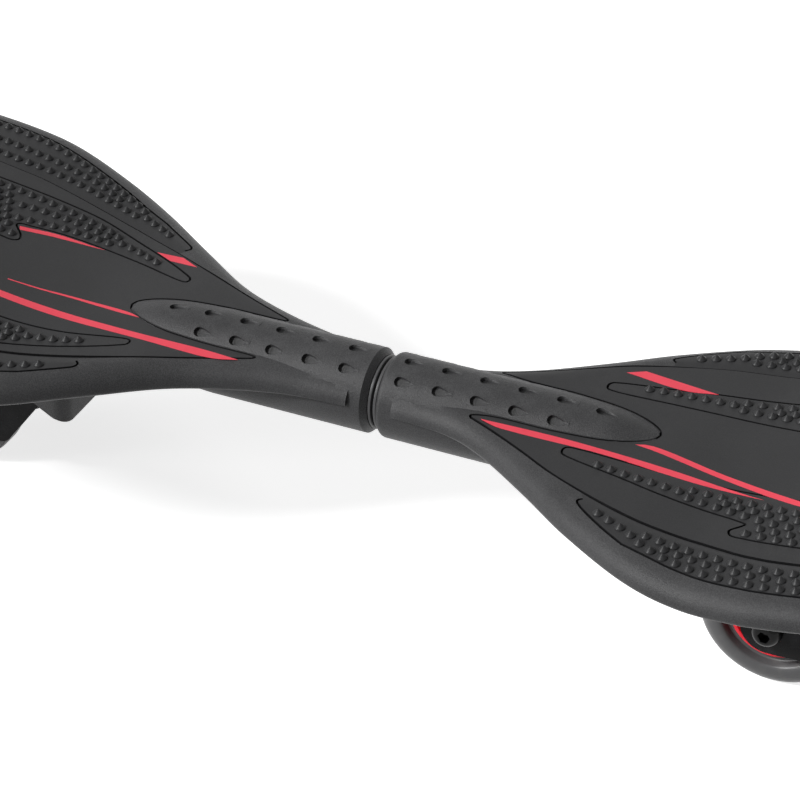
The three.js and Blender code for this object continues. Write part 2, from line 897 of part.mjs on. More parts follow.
// The bolt's head is on the -Y side, domed, with a hexagon socket.
function axleBolt() {
  const seat = -(fork.arm_gap / 2 + fork.arm + seat_gap);
  const end = fork.arm_gap / 2 + fork.arm + seat_gap + axle_nut.height + axle_bolt.tail;
  const radius = axle_bolt.head_diameter / 2;
  const face = radius * axle_bolt.face_share;
  const profile = [[0, seat - axle_bolt.head]];
  for (let i = 0; i <= steps_of.bolt_dome; i++) {
    const angle = (i / steps_of.bolt_dome) * (Math.PI / 2);
    profile.push([
      face + (radius - face) * Math.sin(angle),
      seat - axle_bolt.head * Math.cos(angle),
    ]);
  }
  profile.push([axle_bolt.diameter / 2, seat], [axle_bolt.diameter / 2, end], [0, end]);
  const head_face = seat - axle_bolt.head;
  return cut(
    turned(profile, smooth.small, "y"),
    hexagon(axle_bolt.socket / 2, head_face - overrun, head_face + axle_bolt.socket_depth, "y"),
  );
}

const axleNut = () => {
  const from = fork.arm_gap / 2 + fork.arm + seat_gap;
  const hole = axle_bolt.diameter / 2 + seat_gap;
  return nutSolid(axle_nut.across_corners / 2, hole, from, from + axle_nut.height, "y");
};

// Assembly

function addCaster(parent, deck) {
  const side_name = (piece) => deck.name + "_" + piece;
  const head = new THREE.Group();
  head.position.set(deck.side * deck.pad_at, 0, -caster.pad_drop);
  head.rotation.y = lean;
  parent.add(head);

  addPiece(head, side_name("base_plate"), basePlate(), materials.black_steel);
  screwPlaces().forEach(([x, y], i) => {
    const screw = panScrew(plate_screw, plate_screw.length, smooth.tiny);
    const mesh = addPiece(head, side_name("plate_screw_" + (i + 1)), screw, materials.steel);
    mesh.position.set(x, y, -(depth.plate + plate.thickness + seat_gap));
  });
  addPiece(head, side_name("upper_race"), raceSolid(depth.upper_race, 1), materials.steel);
  addPiece(head, side_name("ball_ring"), ballRing(), materials.steel);
  addPiece(head, side_name("lower_race"), raceSolid(depth.lower_race + race.thickness, -1), materials.steel);
  addPiece(head, side_name("kingpin"), kingpinSolid(), materials.steel);
  addPiece(
    head,
    side_name("kingpin_washer"),
    ring(
      kingpin_hole,
      washer.diameter / 2,
      -depth.washer - washer.thickness,
      -depth.washer,
      smooth.small,
      "z",
    ),
    materials.steel,
  );
  addPiece(
    head,
    side_name("kingpin_nut"),
    nutSolid(
      kingpin_nut.across_corners / 2,
      kingpin_hole,
      -depth.nut - kingpin_nut.height,
      -depth.nut,
      "z",
    ),
    materials.steel,
  );
  addPiece(head, side_name("fork"), forkSolid(), materials.black_steel);

  const axle = new THREE.Group();
  axle.position.set(-caster.offset, 0, -depth.axle);
  // Turned back upright, with a facet of the tread flat on the floor
  axle.rotation.y = -lean + Math.PI / wheel.facets;
  head.add(axle);
  addPiece(axle, side_name("axle_bolt"), axleBolt(), materials.black_steel);
  addPiece(axle, side_name("axle_nut"), axleNut(), materials.steel);
  addPiece(axle, side_name("axle_spacer_left"), spacerSolid(1), materials.steel);
  addPiece(axle, side_name("axle_spacer_right"), spacerSolid(-1), materials.steel);
  addPiece(axle, side_name("bearing_sleeve"), sleeveSolid(), materials.steel);
  addPiece(axle, side_name("bearing_left"), bearingSolid(1), materials.steel);
  addPiece(axle, side_name("bearing_right"), bearingSolid(-1), materials.steel);
  addPiece(axle, side_name("hub"), hubSolid(), materials.hub);
  addPiece(axle, side_name("tyre"), tyreSolid(), materials.tyre);
}

function addHalf(parent, deck) {
  addPiece(parent, deck.name + "_deck", deckSolid(deck), materials.deck);
  addPiece(parent, deck.name + "_bush", bushSolid(deck.side), materials.bush);
  addPiece(parent, deck.name + "_anchor", anchorSolid(deck.side), materials.steel);
  const length = boss_drop - torsion_bar.square / 2 - anchor.hole_slack - seat_gap;
  const screw = addPiece(
    parent,
    deck.name + "_anchor_screw",
    panScrew(anchor_screw, length, smooth.tiny),
    materials.steel,
  );
  screw.position.set(deck.side * anchorPlace(), 0, -boss_drop - seat_gap);
  addCaster(parent, deck);
}

const board = new THREE.Group();
const axis = new THREE.Group();
axis.position.z = axis_height;
board.add(axis);

addHalf(axis, rear_deck);
addHalf(axis, front_deck);
addPiece(
  axis,
  "pivot_tube",
  ring(
    pivot_tube.bore / 2,
    pivot_tube.diameter / 2,
    -pivot_tube.rear_reach,
    pivot_tube.front_reach,
    smooth.bush,
    "x",
  ),
  materials.steel,
);
addPiece(axis, "torsion_bar", torsionBar(), materials.steel);

export default board;
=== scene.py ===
"""Looks of a twisting caster board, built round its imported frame.

Two moulded decks share one sprung neck, and each stands on a slanted swivel caster.
Lengths are millimetres until a mesh is made. "Along" is the distance from the middle
of the neck, whichever half it is measured on, and "across" is the distance from the
board's centre line.
"""

from __future__ import annotations

import json
import logging
import math
from dataclasses import dataclass
from enum import Enum
from typing import Callable, Sequence

import bmesh
import bpy
import numpy as np
from mathutils import Matrix, Vector
from mathutils.geometry import delaunay_2d_cdt


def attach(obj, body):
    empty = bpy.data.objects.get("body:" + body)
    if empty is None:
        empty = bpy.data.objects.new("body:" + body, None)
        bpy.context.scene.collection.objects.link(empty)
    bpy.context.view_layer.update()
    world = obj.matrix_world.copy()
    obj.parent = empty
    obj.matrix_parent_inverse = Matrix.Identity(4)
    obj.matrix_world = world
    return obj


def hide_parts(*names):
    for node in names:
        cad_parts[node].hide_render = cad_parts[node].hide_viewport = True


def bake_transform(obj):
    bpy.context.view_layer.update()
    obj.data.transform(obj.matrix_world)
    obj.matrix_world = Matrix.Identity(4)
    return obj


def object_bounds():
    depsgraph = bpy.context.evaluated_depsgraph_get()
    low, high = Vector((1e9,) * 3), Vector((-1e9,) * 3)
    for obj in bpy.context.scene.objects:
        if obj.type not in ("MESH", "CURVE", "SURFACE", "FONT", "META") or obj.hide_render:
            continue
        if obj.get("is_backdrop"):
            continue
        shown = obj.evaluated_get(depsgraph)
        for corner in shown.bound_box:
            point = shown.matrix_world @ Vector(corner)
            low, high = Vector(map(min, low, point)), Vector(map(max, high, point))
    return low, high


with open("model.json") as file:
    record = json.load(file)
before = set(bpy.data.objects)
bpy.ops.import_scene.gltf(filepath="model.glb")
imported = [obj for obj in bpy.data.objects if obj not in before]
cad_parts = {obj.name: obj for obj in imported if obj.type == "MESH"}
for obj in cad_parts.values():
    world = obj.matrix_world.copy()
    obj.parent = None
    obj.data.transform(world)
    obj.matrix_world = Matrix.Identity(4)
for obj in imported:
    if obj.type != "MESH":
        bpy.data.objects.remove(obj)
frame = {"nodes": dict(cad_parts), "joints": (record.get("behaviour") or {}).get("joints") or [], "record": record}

LOG = logging.getLogger("caster_board")
MM = 0.001
FULL_TURN = 2 * math.pi
WELD_MM = 0.002  # points nearer than this become one
PLAN_MM = 1e-4  # points of a flat plan nearer than this become one
TINY = 1e-12
FAR = 1e9
NOISE_MIDDLE = 0.5
NOISE_ROUGHNESS = 0.55
MIX_COLOUR_A, MIX_COLOUR_B, MIX_COLOUR_OUT = 6, 7, 2  # a Mix node's colour sockets
END_ROUND_DEG = (60, 30, 0, -30, -60)  # the directions round a line's end
WHITE = (1, 1, 1, 1)
SEEN_RAYS = ("Camera", "Glossy", "Transmission")
ROUND_REACH = 0.45  # how much of a side one corner's round may take up
THREAD_FLANK = 0.4  # how much of a thread's pitch one flank takes up

Points = np.ndarray
Faces = list[tuple[int, ...]]
Profile = Sequence[tuple[float, float]]
Height = Callable[[Points], Points]
Piece = bpy.types.Object


class Half(Enum):
    """The two halves of the board, by the way each runs from the neck."""

    REAR = -1
    FRONT = 1

    @property
    def label(self) -> str:
        """The half's name as the frame's nodes begin with it."""
        return self.name.lower()


class Hand(Enum):
    """The two ends of an axle, by the sign of Y."""

    LEFT = 1
    RIGHT = -1


class Axis(Enum):
    """The axis that a turned piece is revolved about."""

    X = "X"
    Y = "Y"
    Z = "Z"

    @property
    def turn(self) -> Matrix:
        """The rotation that lays Z on this axis."""
        angle, about = {"X": (90, "Y"), "Y": (-90, "X"), "Z": (0, "Z")}[self.value]
        return Matrix.Rotation(math.radians(angle), 4, about)


class Joining(Enum):
    """What a solid does to the one it meets."""

    ADD = "UNION"
    CUT = "DIFFERENCE"
    TRIM = "INTERSECT"


class DeckFace(Enum):
    """The textures of a moulded deck, and the painted shade in its grooves, by their place in its material list.
    """

    GRAINED = 0
    SMOOTH = 1
    # painted shade: the near-black finish laid on the faces of the moulded grooves
    LINE = 2


# Shader graphs


class Wire:
    """One value in a shader graph. Arithmetic on it adds Math nodes."""

    def __init__(self, graph: Graph, socket: bpy.types.NodeSocket) -> None:
        """Wraps an output socket of a graph."""
        self.graph = graph
        self.socket = socket

    def maths(self, operation: str, *terms: Wire | float) -> Wire:
        """The value of one Math node with the given inputs."""
        node = self.graph.node("ShaderNodeMath", {"operation": operation}, dict(enumerate(terms)))
        return Wire(self.graph, node.outputs[0])

    def __add__(self, other: Wire | float) -> Wire:
        """Sum."""
        return self.maths("ADD", self, other)

    def __sub__(self, other: Wire | float) -> Wire:
        """Difference."""
        return self.maths("SUBTRACT", self, other)

    def __mul__(self, other: Wire | float) -> Wire:
        """Product."""
        return self.maths("MULTIPLY", self, other)

    def __radd__(self, other: float) -> Wire:
        """Sum with a number on the left."""
        return self.maths("ADD", other, self)

    def __rsub__(self, other: float) -> Wire:
        """A number less this value."""
        return self.maths("SUBTRACT", other, self)

    def __rmul__(self, other: float) -> Wire:
        """Product with a number on the left."""
        return self.maths("MULTIPLY", other, self)

    def between(self, low: float, high: float) -> Wire:
        """A smooth step from 0 at low to 1 at high.

        Args:
            low: the value that gives 0.
            high: the value that gives 1.

        Returns:
            The stepped value.
        """
        settings = {"interpolation_type": "SMOOTHSTEP"}
        inputs = {"Value": self, "From Min": low, "From Max": high}
        return self.graph.wire(self.graph.node("ShaderNodeMapRange", settings, inputs), "Result")


class Graph:
    """The node tree of one material or world."""

    def __init__(self, owner: bpy.types.ID) -> None:
        """Takes a new material or world and empties its nodes.

        Args:
            owner: the material or world.
        """
        owner.use_nodes = True
        self.owner = owner
        self.tree = owner.node_tree
        self.tree.nodes.clear()

    def node(
        self, kind: str, settings: dict | None = None, inputs: dict | None = None
    ) -> bpy.types.Node:
        """Adds one node.

        Args:
            kind: the node's type.
            settings: its settings, set first.
            inputs: values or wires by socket name or number.

        Returns:
            The new node.
        """
        node = self.tree.nodes.new(kind)
        for name, value in (settings or {}).items():
            setattr(node, name, value)
        for key, value in (inputs or {}).items():
            if isinstance(value, Wire):
                self.tree.links.new(value.socket, node.inputs[key])
            else:
                node.inputs[key].default_value = value
        return node

    def wire(self, node: bpy.types.Node, output: str | int = 0) -> Wire:
        """Wraps one of a node's outputs."""
        return Wire(self, node.outputs[output])

    def places(self, stretch: tuple = (1, 1, 1)) -> Wire:
        """Places on the piece, in metres of the board's own frame.

        Args:
            stretch: how much faster a texture runs along each axis.

        Returns:
            The place, as a vector.
        """
        place = self.wire(self.node("ShaderNodeTexCoord"), "Object")
        if stretch == (1, 1, 1):
            return place
        return self.wire(self.node("ShaderNodeMapping", inputs={"Vector": place, "Scale": stretch}))

    def noise(self, size_mm: float, detail: float = 2.0, place: Wire | None = None) -> Wire:
        """Soft noise.

        Args:
            size_mm: the size of one lump.
            detail: how many finer layers it has.
            place: where it is read, by default the place on the piece.

        Returns:
            A value that stays near NOISE_MIDDLE.
        """
        inputs = {
            "Vector": place or self.places(),
            "Scale": 1 / (size_mm * MM),
            "Detail": detail,
            "Roughness": NOISE_ROUGHNESS,
        }
        return self.wire(self.node("ShaderNodeTexNoise", inputs=inputs), "Fac")

    def blend(self, share: Wire, first: tuple | Wire, second: tuple | Wire) -> Wire:
        """The first colour with a share of the second mixed into it."""
        inputs = {"Factor": share, MIX_COLOUR_A: first, MIX_COLOUR_B: second}
        return self.wire(self.node("ShaderNodeMix", {"data_type": "RGBA"}, inputs), MIX_COLOUR_OUT)

    def bump(self, height: Wire, depth_mm: float, strength: float = 1.0) -> Wire:
        """The shading normal of a height from 0 to 1, where 1 stands for a depth."""
        inputs = {"Height": height, "Distance": depth_mm * MM, "Strength": strength}
        return self.wire(self.node("ShaderNodeBump", inputs=inputs), "Normal")

    def edges(self) -> Wire:
        """How far a place stands out, which is 0.5 on a flat face and more on an outside edge."""
        return self.wire(self.node("ShaderNodeNewGeometry"), "Pointiness")

    def finish(self, **inputs: Wire | float | tuple) -> bpy.types.Material:
        """Closes the graph with one principled shader.

        Args:
            inputs: its sockets, with spaces written as underscores.

        Returns:
            The finished material.
        """
        named = {name.replace("_", " "): value for name, value in inputs.items()}
        shader = self.wire(self.node("ShaderNodeBsdfPrincipled", inputs=named))
        self.node("ShaderNodeOutputMaterial", inputs={"Surface": shader})
        return self.owner


def tone(*levels: float) -> tuple[float, ...]:
    """A colour written in screen values from 0 to 255, as linear light with full alpha."""
    shares = (level / 255 for level in levels)
    return (*(v / 12.92 if v <= 0.04045 else ((v + 0.055) / 1.055) ** 2.4 for v in shares), 1.0)


# Finishes


@dataclass(frozen=True)
class MouldedPlastic:
    """Dark polypropylene from a mould, with a spark-eroded grain or nearly smooth, and painted shade in its
    hollows.
    """

    name: str
    colour: tuple
    pale: tuple
    grain_mm: float
    grain_depth: float
    roughness: float
    gloss: float
    # dirt and hollow_span: painted shade, a near-black blended into concave places such as groove floors
    dirt: tuple = tone(14, 14, 14)
    cloud_mm: float = 38.0
    cloud_span: tuple = (0.3, 0.72)
    cloud_share: float = 0.35
    grain_span: tuple = (0.36, 0.66)
    grain_share: float = 0.65
    fleck_scale: float = 3.2
    fleck_span: tuple = (0.3, 0.62)
    fleck_relief: float = 0.3
    worn_span: tuple = (0.51, 0.58)
    worn_share: float = 0.4
    hollow_span: tuple = (0.4, 0.49)
    rough_range: float = 0.12

    def material(self) -> bpy.types.Material:
        """The finish as a node material.

        Returns:
            The material.
        """
        graph = Graph(bpy.data.materials.new(self.name))
        cloud = graph.noise(self.cloud_mm, 3)
        grain = graph.noise(self.grain_mm, 3)
        flecks = graph.noise(self.grain_mm * self.fleck_scale)
        edges = graph.edges()
        worn = edges.between(*self.worn_span) * flecks.between(*self.fleck_span)
        shade = cloud.between(*self.cloud_span) * self.cloud_share
        shade += grain.between(*self.grain_span) * self.grain_share + worn * self.worn_share
        colour = graph.blend(shade, self.colour, self.pale)
        # painted shade: the colour darkens towards dirt where the surface is concave
        colour = graph.blend(1 - edges.between(*self.hollow_span), colour, self.dirt)
        rough = (cloud - NOISE_MIDDLE) * self.rough_range + (grain - NOISE_MIDDLE) * self.rough_range
        height = grain * (1 - self.fleck_relief) + flecks * self.fleck_relief
        return graph.finish(
            Base_Color=colour,
            Roughness=self.roughness + rough,
            Normal=graph.bump(height, self.grain_depth),
            Specular_IOR_Level=self.gloss,
        )


@dataclass(frozen=True)
class Cloud:
    """Soft patches of a finish's second colour, which are also a little rougher."""

    size_mm: float
    detail: float
    span: tuple
    share: float
    rough: float


@dataclass(frozen=True)
class Skin:
    """The fine relief of a finish. Its stretch is how much faster it runs along each axis."""

    size_mm: float
    depth_mm: float
    strength: float
    rough: float = 0.0
    stretch: tuple = (1, 1, 1)


@dataclass(frozen=True)
class Coat:
    """A finish of one colour with soft patches of a second and a fine skin."""

    name: str
    colour: tuple
    second: tuple
    roughness: float
    gloss: float = 0.5
    metallic: float = 0.0
    cloud: Cloud = Cloud(size_mm=10, detail=3, span=(0.4, 0.7), share=0.5, rough=0.2)
    skin: Skin = Skin(size_mm=1, depth_mm=0.02, strength=0.5)

    def patches(self, graph: Graph, cloud: Wire) -> Wire:
        """Where the second colour lies, from 0 to 1."""
        return cloud.between(*self.cloud.span) * self.cloud.share

    def material(self) -> bpy.types.Material:
        """The finish as a node material.

        Returns:
            The material.
        """
        graph = Graph(bpy.data.materials.new(self.name))
        cloud = graph.noise(self.cloud.size_mm, self.cloud.detail)
        skin = graph.noise(self.skin.size_mm, place=graph.places(self.skin.stretch))
        rough = self.roughness + (cloud - NOISE_MIDDLE) * self.cloud.rough
        if self.skin.rough:
            rough += (skin - NOISE_MIDDLE) * self.skin.rough
        return graph.finish(
            Base_Color=graph.blend(self.patches(graph, cloud), self.colour, self.second),
            Metallic=self.metallic,
            Roughness=rough,
            Normal=graph.bump(skin, self.skin.depth_mm, self.skin.strength),
            Specular_IOR_Level=self.gloss,
        )


@dataclass(frozen=True)
class PlatedSteel(Coat):
    """Bright steel with fine tooling lines and a thin oxide bloom."""

    metallic: float = 1.0
    cloud: Cloud = Cloud(size_mm=9, detail=3, span=(0.42, 0.7), share=0.6, rough=0.22)
    skin: Skin = Skin(size_mm=0.35, depth_mm=0.02, strength=0.5, rough=0.12, stretch=(1, 0.08, 1))


@dataclass(frozen=True)
class PaintedSteel(Coat):
    """Black powder coat with an orange-peel skin, rubbed thin on the edges."""

    cloud: Cloud = Cloud(size_mm=14, detail=4, span=(0.5, 0.8), share=0.12, rough=0.2)
    skin: Skin = Skin(size_mm=1.3, depth_mm=0.05, strength=0.6)
    rubbed_edge: tuple = (0.52, 0.62)
    rubbed_span: tuple = (0.45, 0.65)
    rubbed_share: float = 0.7

    def patches(self, graph: Graph, cloud: Wire) -> Wire:
        """Where the coat is dusty or rubbed, from 0 to 1."""
        rubbed = graph.edges().between(*self.rubbed_edge) * cloud.between(*self.rubbed_span)
        return rubbed * self.rubbed_share + super().patches(graph, cloud)


@dataclass(frozen=True)
class CastUrethane(Coat):
    """A cast tyre, satin on its sides, with faint dust and flow marks."""

    gloss: float = 0.3
    cloud: Cloud = Cloud(size_mm=6, detail=4, span=(0.45, 0.75), share=0.5, rough=0.25)
    skin: Skin = Skin(size_mm=1.1, depth_mm=0.03, strength=0.5, rough=0.06)


@dataclass(frozen=True)
class GlossPlastic(Coat):
    """Coloured glossy plastic with slight depth variation."""

    gloss: float = 0.35
    cloud: Cloud = Cloud(size_mm=7, detail=3, span=(0.4, 0.75), share=0.5, rough=0.18)
    skin: Skin = Skin(size_mm=0.7, depth_mm=0.015, strength=0.5)


@dataclass(frozen=True)
class PrintedInk(Coat):
    """Screen-printed ink, a little uneven, that follows the grain below it."""

    cloud: Cloud = Cloud(size_mm=11, detail=4, span=(0.5, 0.8), share=0.35, rough=0.2)
    skin: Skin = Skin(size_mm=0.5, depth_mm=0.02, strength=0.4)


FINISHES = {
    "deck": MouldedPlastic("deck_grained", tone(36, 36, 37), tone(66, 66, 67), 0.5, 0.3, 0.46, 0.22),
    "deck_smooth": MouldedPlastic("deck_smooth", tone(38, 38, 39), tone(49, 49, 50), 0.4, 0.03, 0.38, 0.15),
    # the line finish is painted shade: a near-black plastic laid on the groove faces
    "deck_line": MouldedPlastic("deck_line", tone(16, 16, 17), tone(26, 26, 27), 0.4, 0.03, 0.5, 0.1),
    "bush": MouldedPlastic("bush_nylon", tone(60, 60, 61), tone(78, 78, 79), 0.5, 0.03, 0.4, 0.25),
    "zinc_steel": PlatedSteel("zinc_steel", tone(196, 198, 202), tone(150, 152, 158), 0.34),
    "bearing_steel": PlatedSteel("bearing_steel", tone(176, 177, 180), tone(140, 141, 146), 0.22),
    "spring_steel": PlatedSteel("spring_steel", tone(120, 120, 124), tone(84, 80, 76), 0.4),
    "black_steel": PaintedSteel("black_steel", tone(4, 4, 5), tone(34, 34, 36), 0.25, 0.08),
    "bolt_black": PaintedSteel("bolt_black", tone(3, 3, 4), tone(34, 34, 36), 0.16, 0.16),
    "hub": GlossPlastic("hub_red", tone(232, 24, 46), tone(190, 12, 32), 0.3),
    "tyre": CastUrethane("tyre_urethane", tone(78, 78, 79), tone(92, 91, 90), 0.36),
    "stripe": PrintedInk("stripe_red", tone(234, 62, 82), tone(212, 49, 71), 0.45),
}


# Curves on a flat plan


def smooth_line(
    points: Sequence[tuple[float, float]], steps: int, closed: bool = False, power: float = 0.5
) -> Points:
    """Points along a smooth curve through the given ones.

    Args:
        points: the places it goes through.
        steps: how many steps each stretch has.
        closed: whether it comes back to its start.
        power: how much a long stretch weighs more than a short one. With 0 they weigh the same.

    Returns:
        The points, one a row.
    """
    known = np.asarray(points, float)
    count = len(known)
    shares = (np.arange(steps) / steps)[:, None]
    stretches = []
    for i in range(count if closed else count - 1):
        picks = [i - 1, i, i + 1, i + 2]
        picks = [k % count for k in picks] if closed else [min(max(k, 0), count - 1) for k in picks]
        before, start, end, after = known[picks]
        gaps = [np.linalg.norm(b - a) for a, b in ((before, start), (start, end), (end, after))]
        first, middle, last = (gap**power if gap else FAR**power for gap in gaps)
        ahead = (end - start) / middle
        leave = ((start - before) / first - (end - before) / (first + middle) + ahead) * middle
        arrive = (ahead - (after - start) / (middle + last) + (after - end) / last) * middle
        cubic = 2 * start - 2 * end + leave + arrive
        square = -3 * start + 3 * end - 2 * leave - arrive
        stretches.append(cubic * shares**3 + square * shares**2 + leave * shares + start)
    if not closed:
        stretches.append(known[-1:])
    return np.concatenate(stretches)


def thinned(points: Points, turn_deg: float = 7, longest: float = 6) -> Points:
    """Drops points where a line is nearly straight.

    Args:
        points: the line.
        turn_deg: how far the line may turn between two kept points.
        longest: how far apart two kept points may be.

    Returns:
        The kept points, with both ends.
    """
    kept = [points[0]]
    turned_by = 0.0
    for before, here, after in zip(points, points[1:], points[2:]):
        run, following = here - before, after - here
        cross = run[0] * following[1] - run[1] * following[0]
        turned_by += abs(math.degrees(math.atan2(cross, float(run @ following))))
        if turned_by >= turn_deg or np.linalg.norm(after - kept[-1]) > longest:
            kept.append(here)
            turned_by = 0.0
    return np.array([*kept, points[-1]])


def moved_aside(line: Points, distance: float, closed: bool) -> Points:
    """A line moved sideways, to its left where the distance is positive.

    Args:
        line: the points.
        distance: how far.
        closed: whether the line is a loop.

    Returns:
        As many points as the line has.
    """
    if closed:
        along = np.roll(line, -1, 0) - np.roll(line, 1, 0)
    else:
        along = np.gradient(line, axis=0)
    along /= np.maximum(np.linalg.norm(along, axis=1), TINY)[:, None]
    return line + distance * np.stack([-along[:, 1], along[:, 0]], 1)


def around(line: Points, distance: float) -> Points:
    """A closed line round an open one, with round ends.

    Args:
        line: the open line.
        distance: how far from it.

    Returns:
        The closed line.
    """
    parts = []
    for run in (line, line[::-1]):
        parts.append(moved_aside(run, distance, False))
        ahead = (run[-1] - run[-2]) / np.linalg.norm(run[-1] - run[-2])
        aside = np.array([-ahead[1], ahead[0]])
        for angle in np.radians(END_ROUND_DEG):
            parts.append([run[-1] + distance * (math.cos(angle) * ahead + math.sin(angle) * aside)])
    return np.concatenate(parts)


def gap_to_line(places: Points, line: Points, block: int = 2000) -> Points:
    """The shortest distance from each place to a line.

    Args:
        places: one place a row.
        line: the line's points.
        block: how many places are worked out at once.

    Returns:
        One distance for each place.
    """
    starts, runs = line[:-1], np.diff(line, axis=0)
    lengths = np.maximum((runs**2).sum(1), TINY)
    found = np.empty(len(places))
    for first in range(0, len(places), block):
        part = places[first : first + block, None, :]
        shares = np.clip(((part - starts) * runs).sum(2) / lengths, 0, 1)
        nearest = starts + shares[..., None] * runs
        found[first : first + block] = np.sqrt(((part - nearest) ** 2).sum(2)).min(1)
    return found


def gap_to_loop(places: Points, loop: Points) -> Points:
    """The shortest distance from each place to a closed loop."""
    return gap_to_line(places, np.vstack([loop, loop[:1]]))


def inside(places: Points, loop: Points) -> Points:
    """Whether each place lies inside a closed loop.

    Args:
        places: one place a row.
        loop: the loop's corners.

    Returns:
        One truth for each place.
    """
    ends = np.roll(loop, -1, 0)
    crossings = np.zeros(len(places), int)
    for (x0, y0), (x1, y1) in zip(loop, ends):
        if y0 == y1:
            continue
        spans = (y0 > places[:, 1]) != (y1 > places[:, 1])
        crossings += spans & (places[:, 0] < x0 + (places[:, 1] - y0) * (x1 - x0) / (y1 - y0))
    return crossings % 2 == 1


def mirrored(line: Points) -> Points:
    """A line on the other side of the board, run backwards."""
    return line[::-1] * np.array([1.0, -1.0])


def spaced(line: Points, pitch: float = 1.0, count: int = 0, to_end: bool = False) -> Points:
    """Places at even steps along a line.

    Args:
        line: the line's points.
        pitch: the step, where no count is given.
        count: how many places there are, with both ends.
        to_end: whether the step is adjusted so that the last place is the line's end.

    Returns:
        The places.
    """
    runs = np.concatenate([[0], np.cumsum(np.linalg.norm(np.diff(line, axis=0), axis=1))])
    if to_end:
        count = max(2, round(runs[-1] / pitch) + 1)
    stations = np.linspace(0, runs[-1], count) if count else np.arange(0, runs[-1], pitch)
    return np.stack([np.interp(stations, runs, line[:, k]) for k in range(2)], 1)


class Plan:
    """A flat pattern of lines inside a border, filled with triangles that keep the lines."""

    def __init__(self, border: Points) -> None:
        """Starts a plan.

        Args:
            border: the closed outer line.
        """
        self.border = border
        self.points: list[Points] = [border]
        self.count = len(border)
        self.edges: list[tuple[int, int]] = []

    def line(self, points: Points, closed: bool = False) -> range:
        """Adds a line that the triangles keep.

        Args:
            points: its points.
            closed: whether it is a loop.

        Returns:
            The numbers of its points.
        """
        first = self.count
        self.points.append(points)
        self.count += len(points)
        self.edges += [(i, i + 1) for i in range(first, self.count - 1)]
        if closed:
            self.edges.append((self.count - 1, first))
        return range(first, self.count)

    def scatter(self, points: Points) -> None:
        """Adds loose points."""
        self.points.append(points)
        self.count += len(points)

    def filled(self) -> tuple[Points, Faces, list[list[int]]]:
        """Fills the plan.

        Returns:
            The points, the triangles, and for each point the numbers it was added under.
        """
        flat = np.concatenate(self.points)
        border = list(range(len(self.border)))
        edges = self.edges + list(zip(border, border[1:] + border[:1]))
        points, _, faces, numbers, _, _ = delaunay_2d_cdt(
            [Vector(p) for p in flat], edges, [], 0, PLAN_MM, True
        )
        spots = np.array([tuple(p) for p in points])
        corners = np.array([tuple(face) for face in faces])
        keep = inside(spots[corners].mean(1), self.border)
        return spots, [tuple(face) for face in corners[keep].tolist()], numbers


# Meshes


def rounded(
    profile: Profile, radius: float, steps: int = 2, loop: bool = True
) -> list[tuple[float, float]]:
    """Rounds a profile's corners.

    Args:
        profile: points of (radius, place).
        radius: how far from a corner the round starts, at most.
        steps: how many steps it has.
        loop: whether the profile is a loop. Else its two ends stay, and they lie on the axis.

    Returns:
        The rounded profile. A loop ends where it starts.
    """
    points = [Vector(p) for p in profile]
    count = len(points)
    result: list[tuple[float, float]] = []
    for i, corner in enumerate(points):
        if not loop and i in (0, count - 1):
            result.append(tuple(corner))
            continue
        before, after = points[i - 1] - corner, points[(i + 1) % count] - corner
        reach = min(radius, ROUND_REACH * before.length, ROUND_REACH * after.length)
        start = corner + before.normalized() * reach
        end = corner + after.normalized() * reach
        for share in (k / steps for k in range(steps + 1)):
            point = start * (1 - share) ** 2 + corner * 2 * share * (1 - share) + end * share**2
            result.append(tuple(point))
    return result + result[:1] if loop else result


def rod(radius: float, low: float, high: float) -> Profile:
    """The profile of a plain round bar."""
    return [(0, low), (radius, low), (radius, high), (0, high)]


def sleeve(bore: float, radius: float, low: float, high: float, edge: float, steps: int = 2) -> Profile:
    """The profile of a plain ring with rounded edges."""
    return rounded([(bore, low), (radius, low), (radius, high), (bore, high)], edge, steps)


def rounded_box(length: float, width: float, corner: float, steps: int = 8) -> Points:
    """The outline of a rounded rectangle, counter-clockwise.

    Args:
        length: its size along X.
        width: its size along Y.
        corner: its corners' radius.
        steps: how many steps a corner has.

    Returns:
        The points.
    """
    angles = np.linspace(0, math.pi / 2, steps + 1)
    arc = np.stack([np.cos(angles), np.sin(angles)], 1) * corner
    arc += (length / 2 - corner, width / 2 - corner)
    half = np.concatenate([arc, arc[::-1] * (-1, 1)])
    return np.concatenate([half, -half])


def skin_faces(rows: int, count: int, closed: bool = True) -> Faces:
    """Faces between rows of points.

    Args:
        rows: how many rows there are.
        count: how many points each has.
        closed: whether each row comes back to its start.

    Returns:
        The faces.
    """
    faces = []
    for k in range(rows - 1):
        for i in range(count if closed else count - 1):
            a, b = k * count + i, k * count + (i + 1) % count
            faces.append((a, b, b + count, a + count))
    return faces


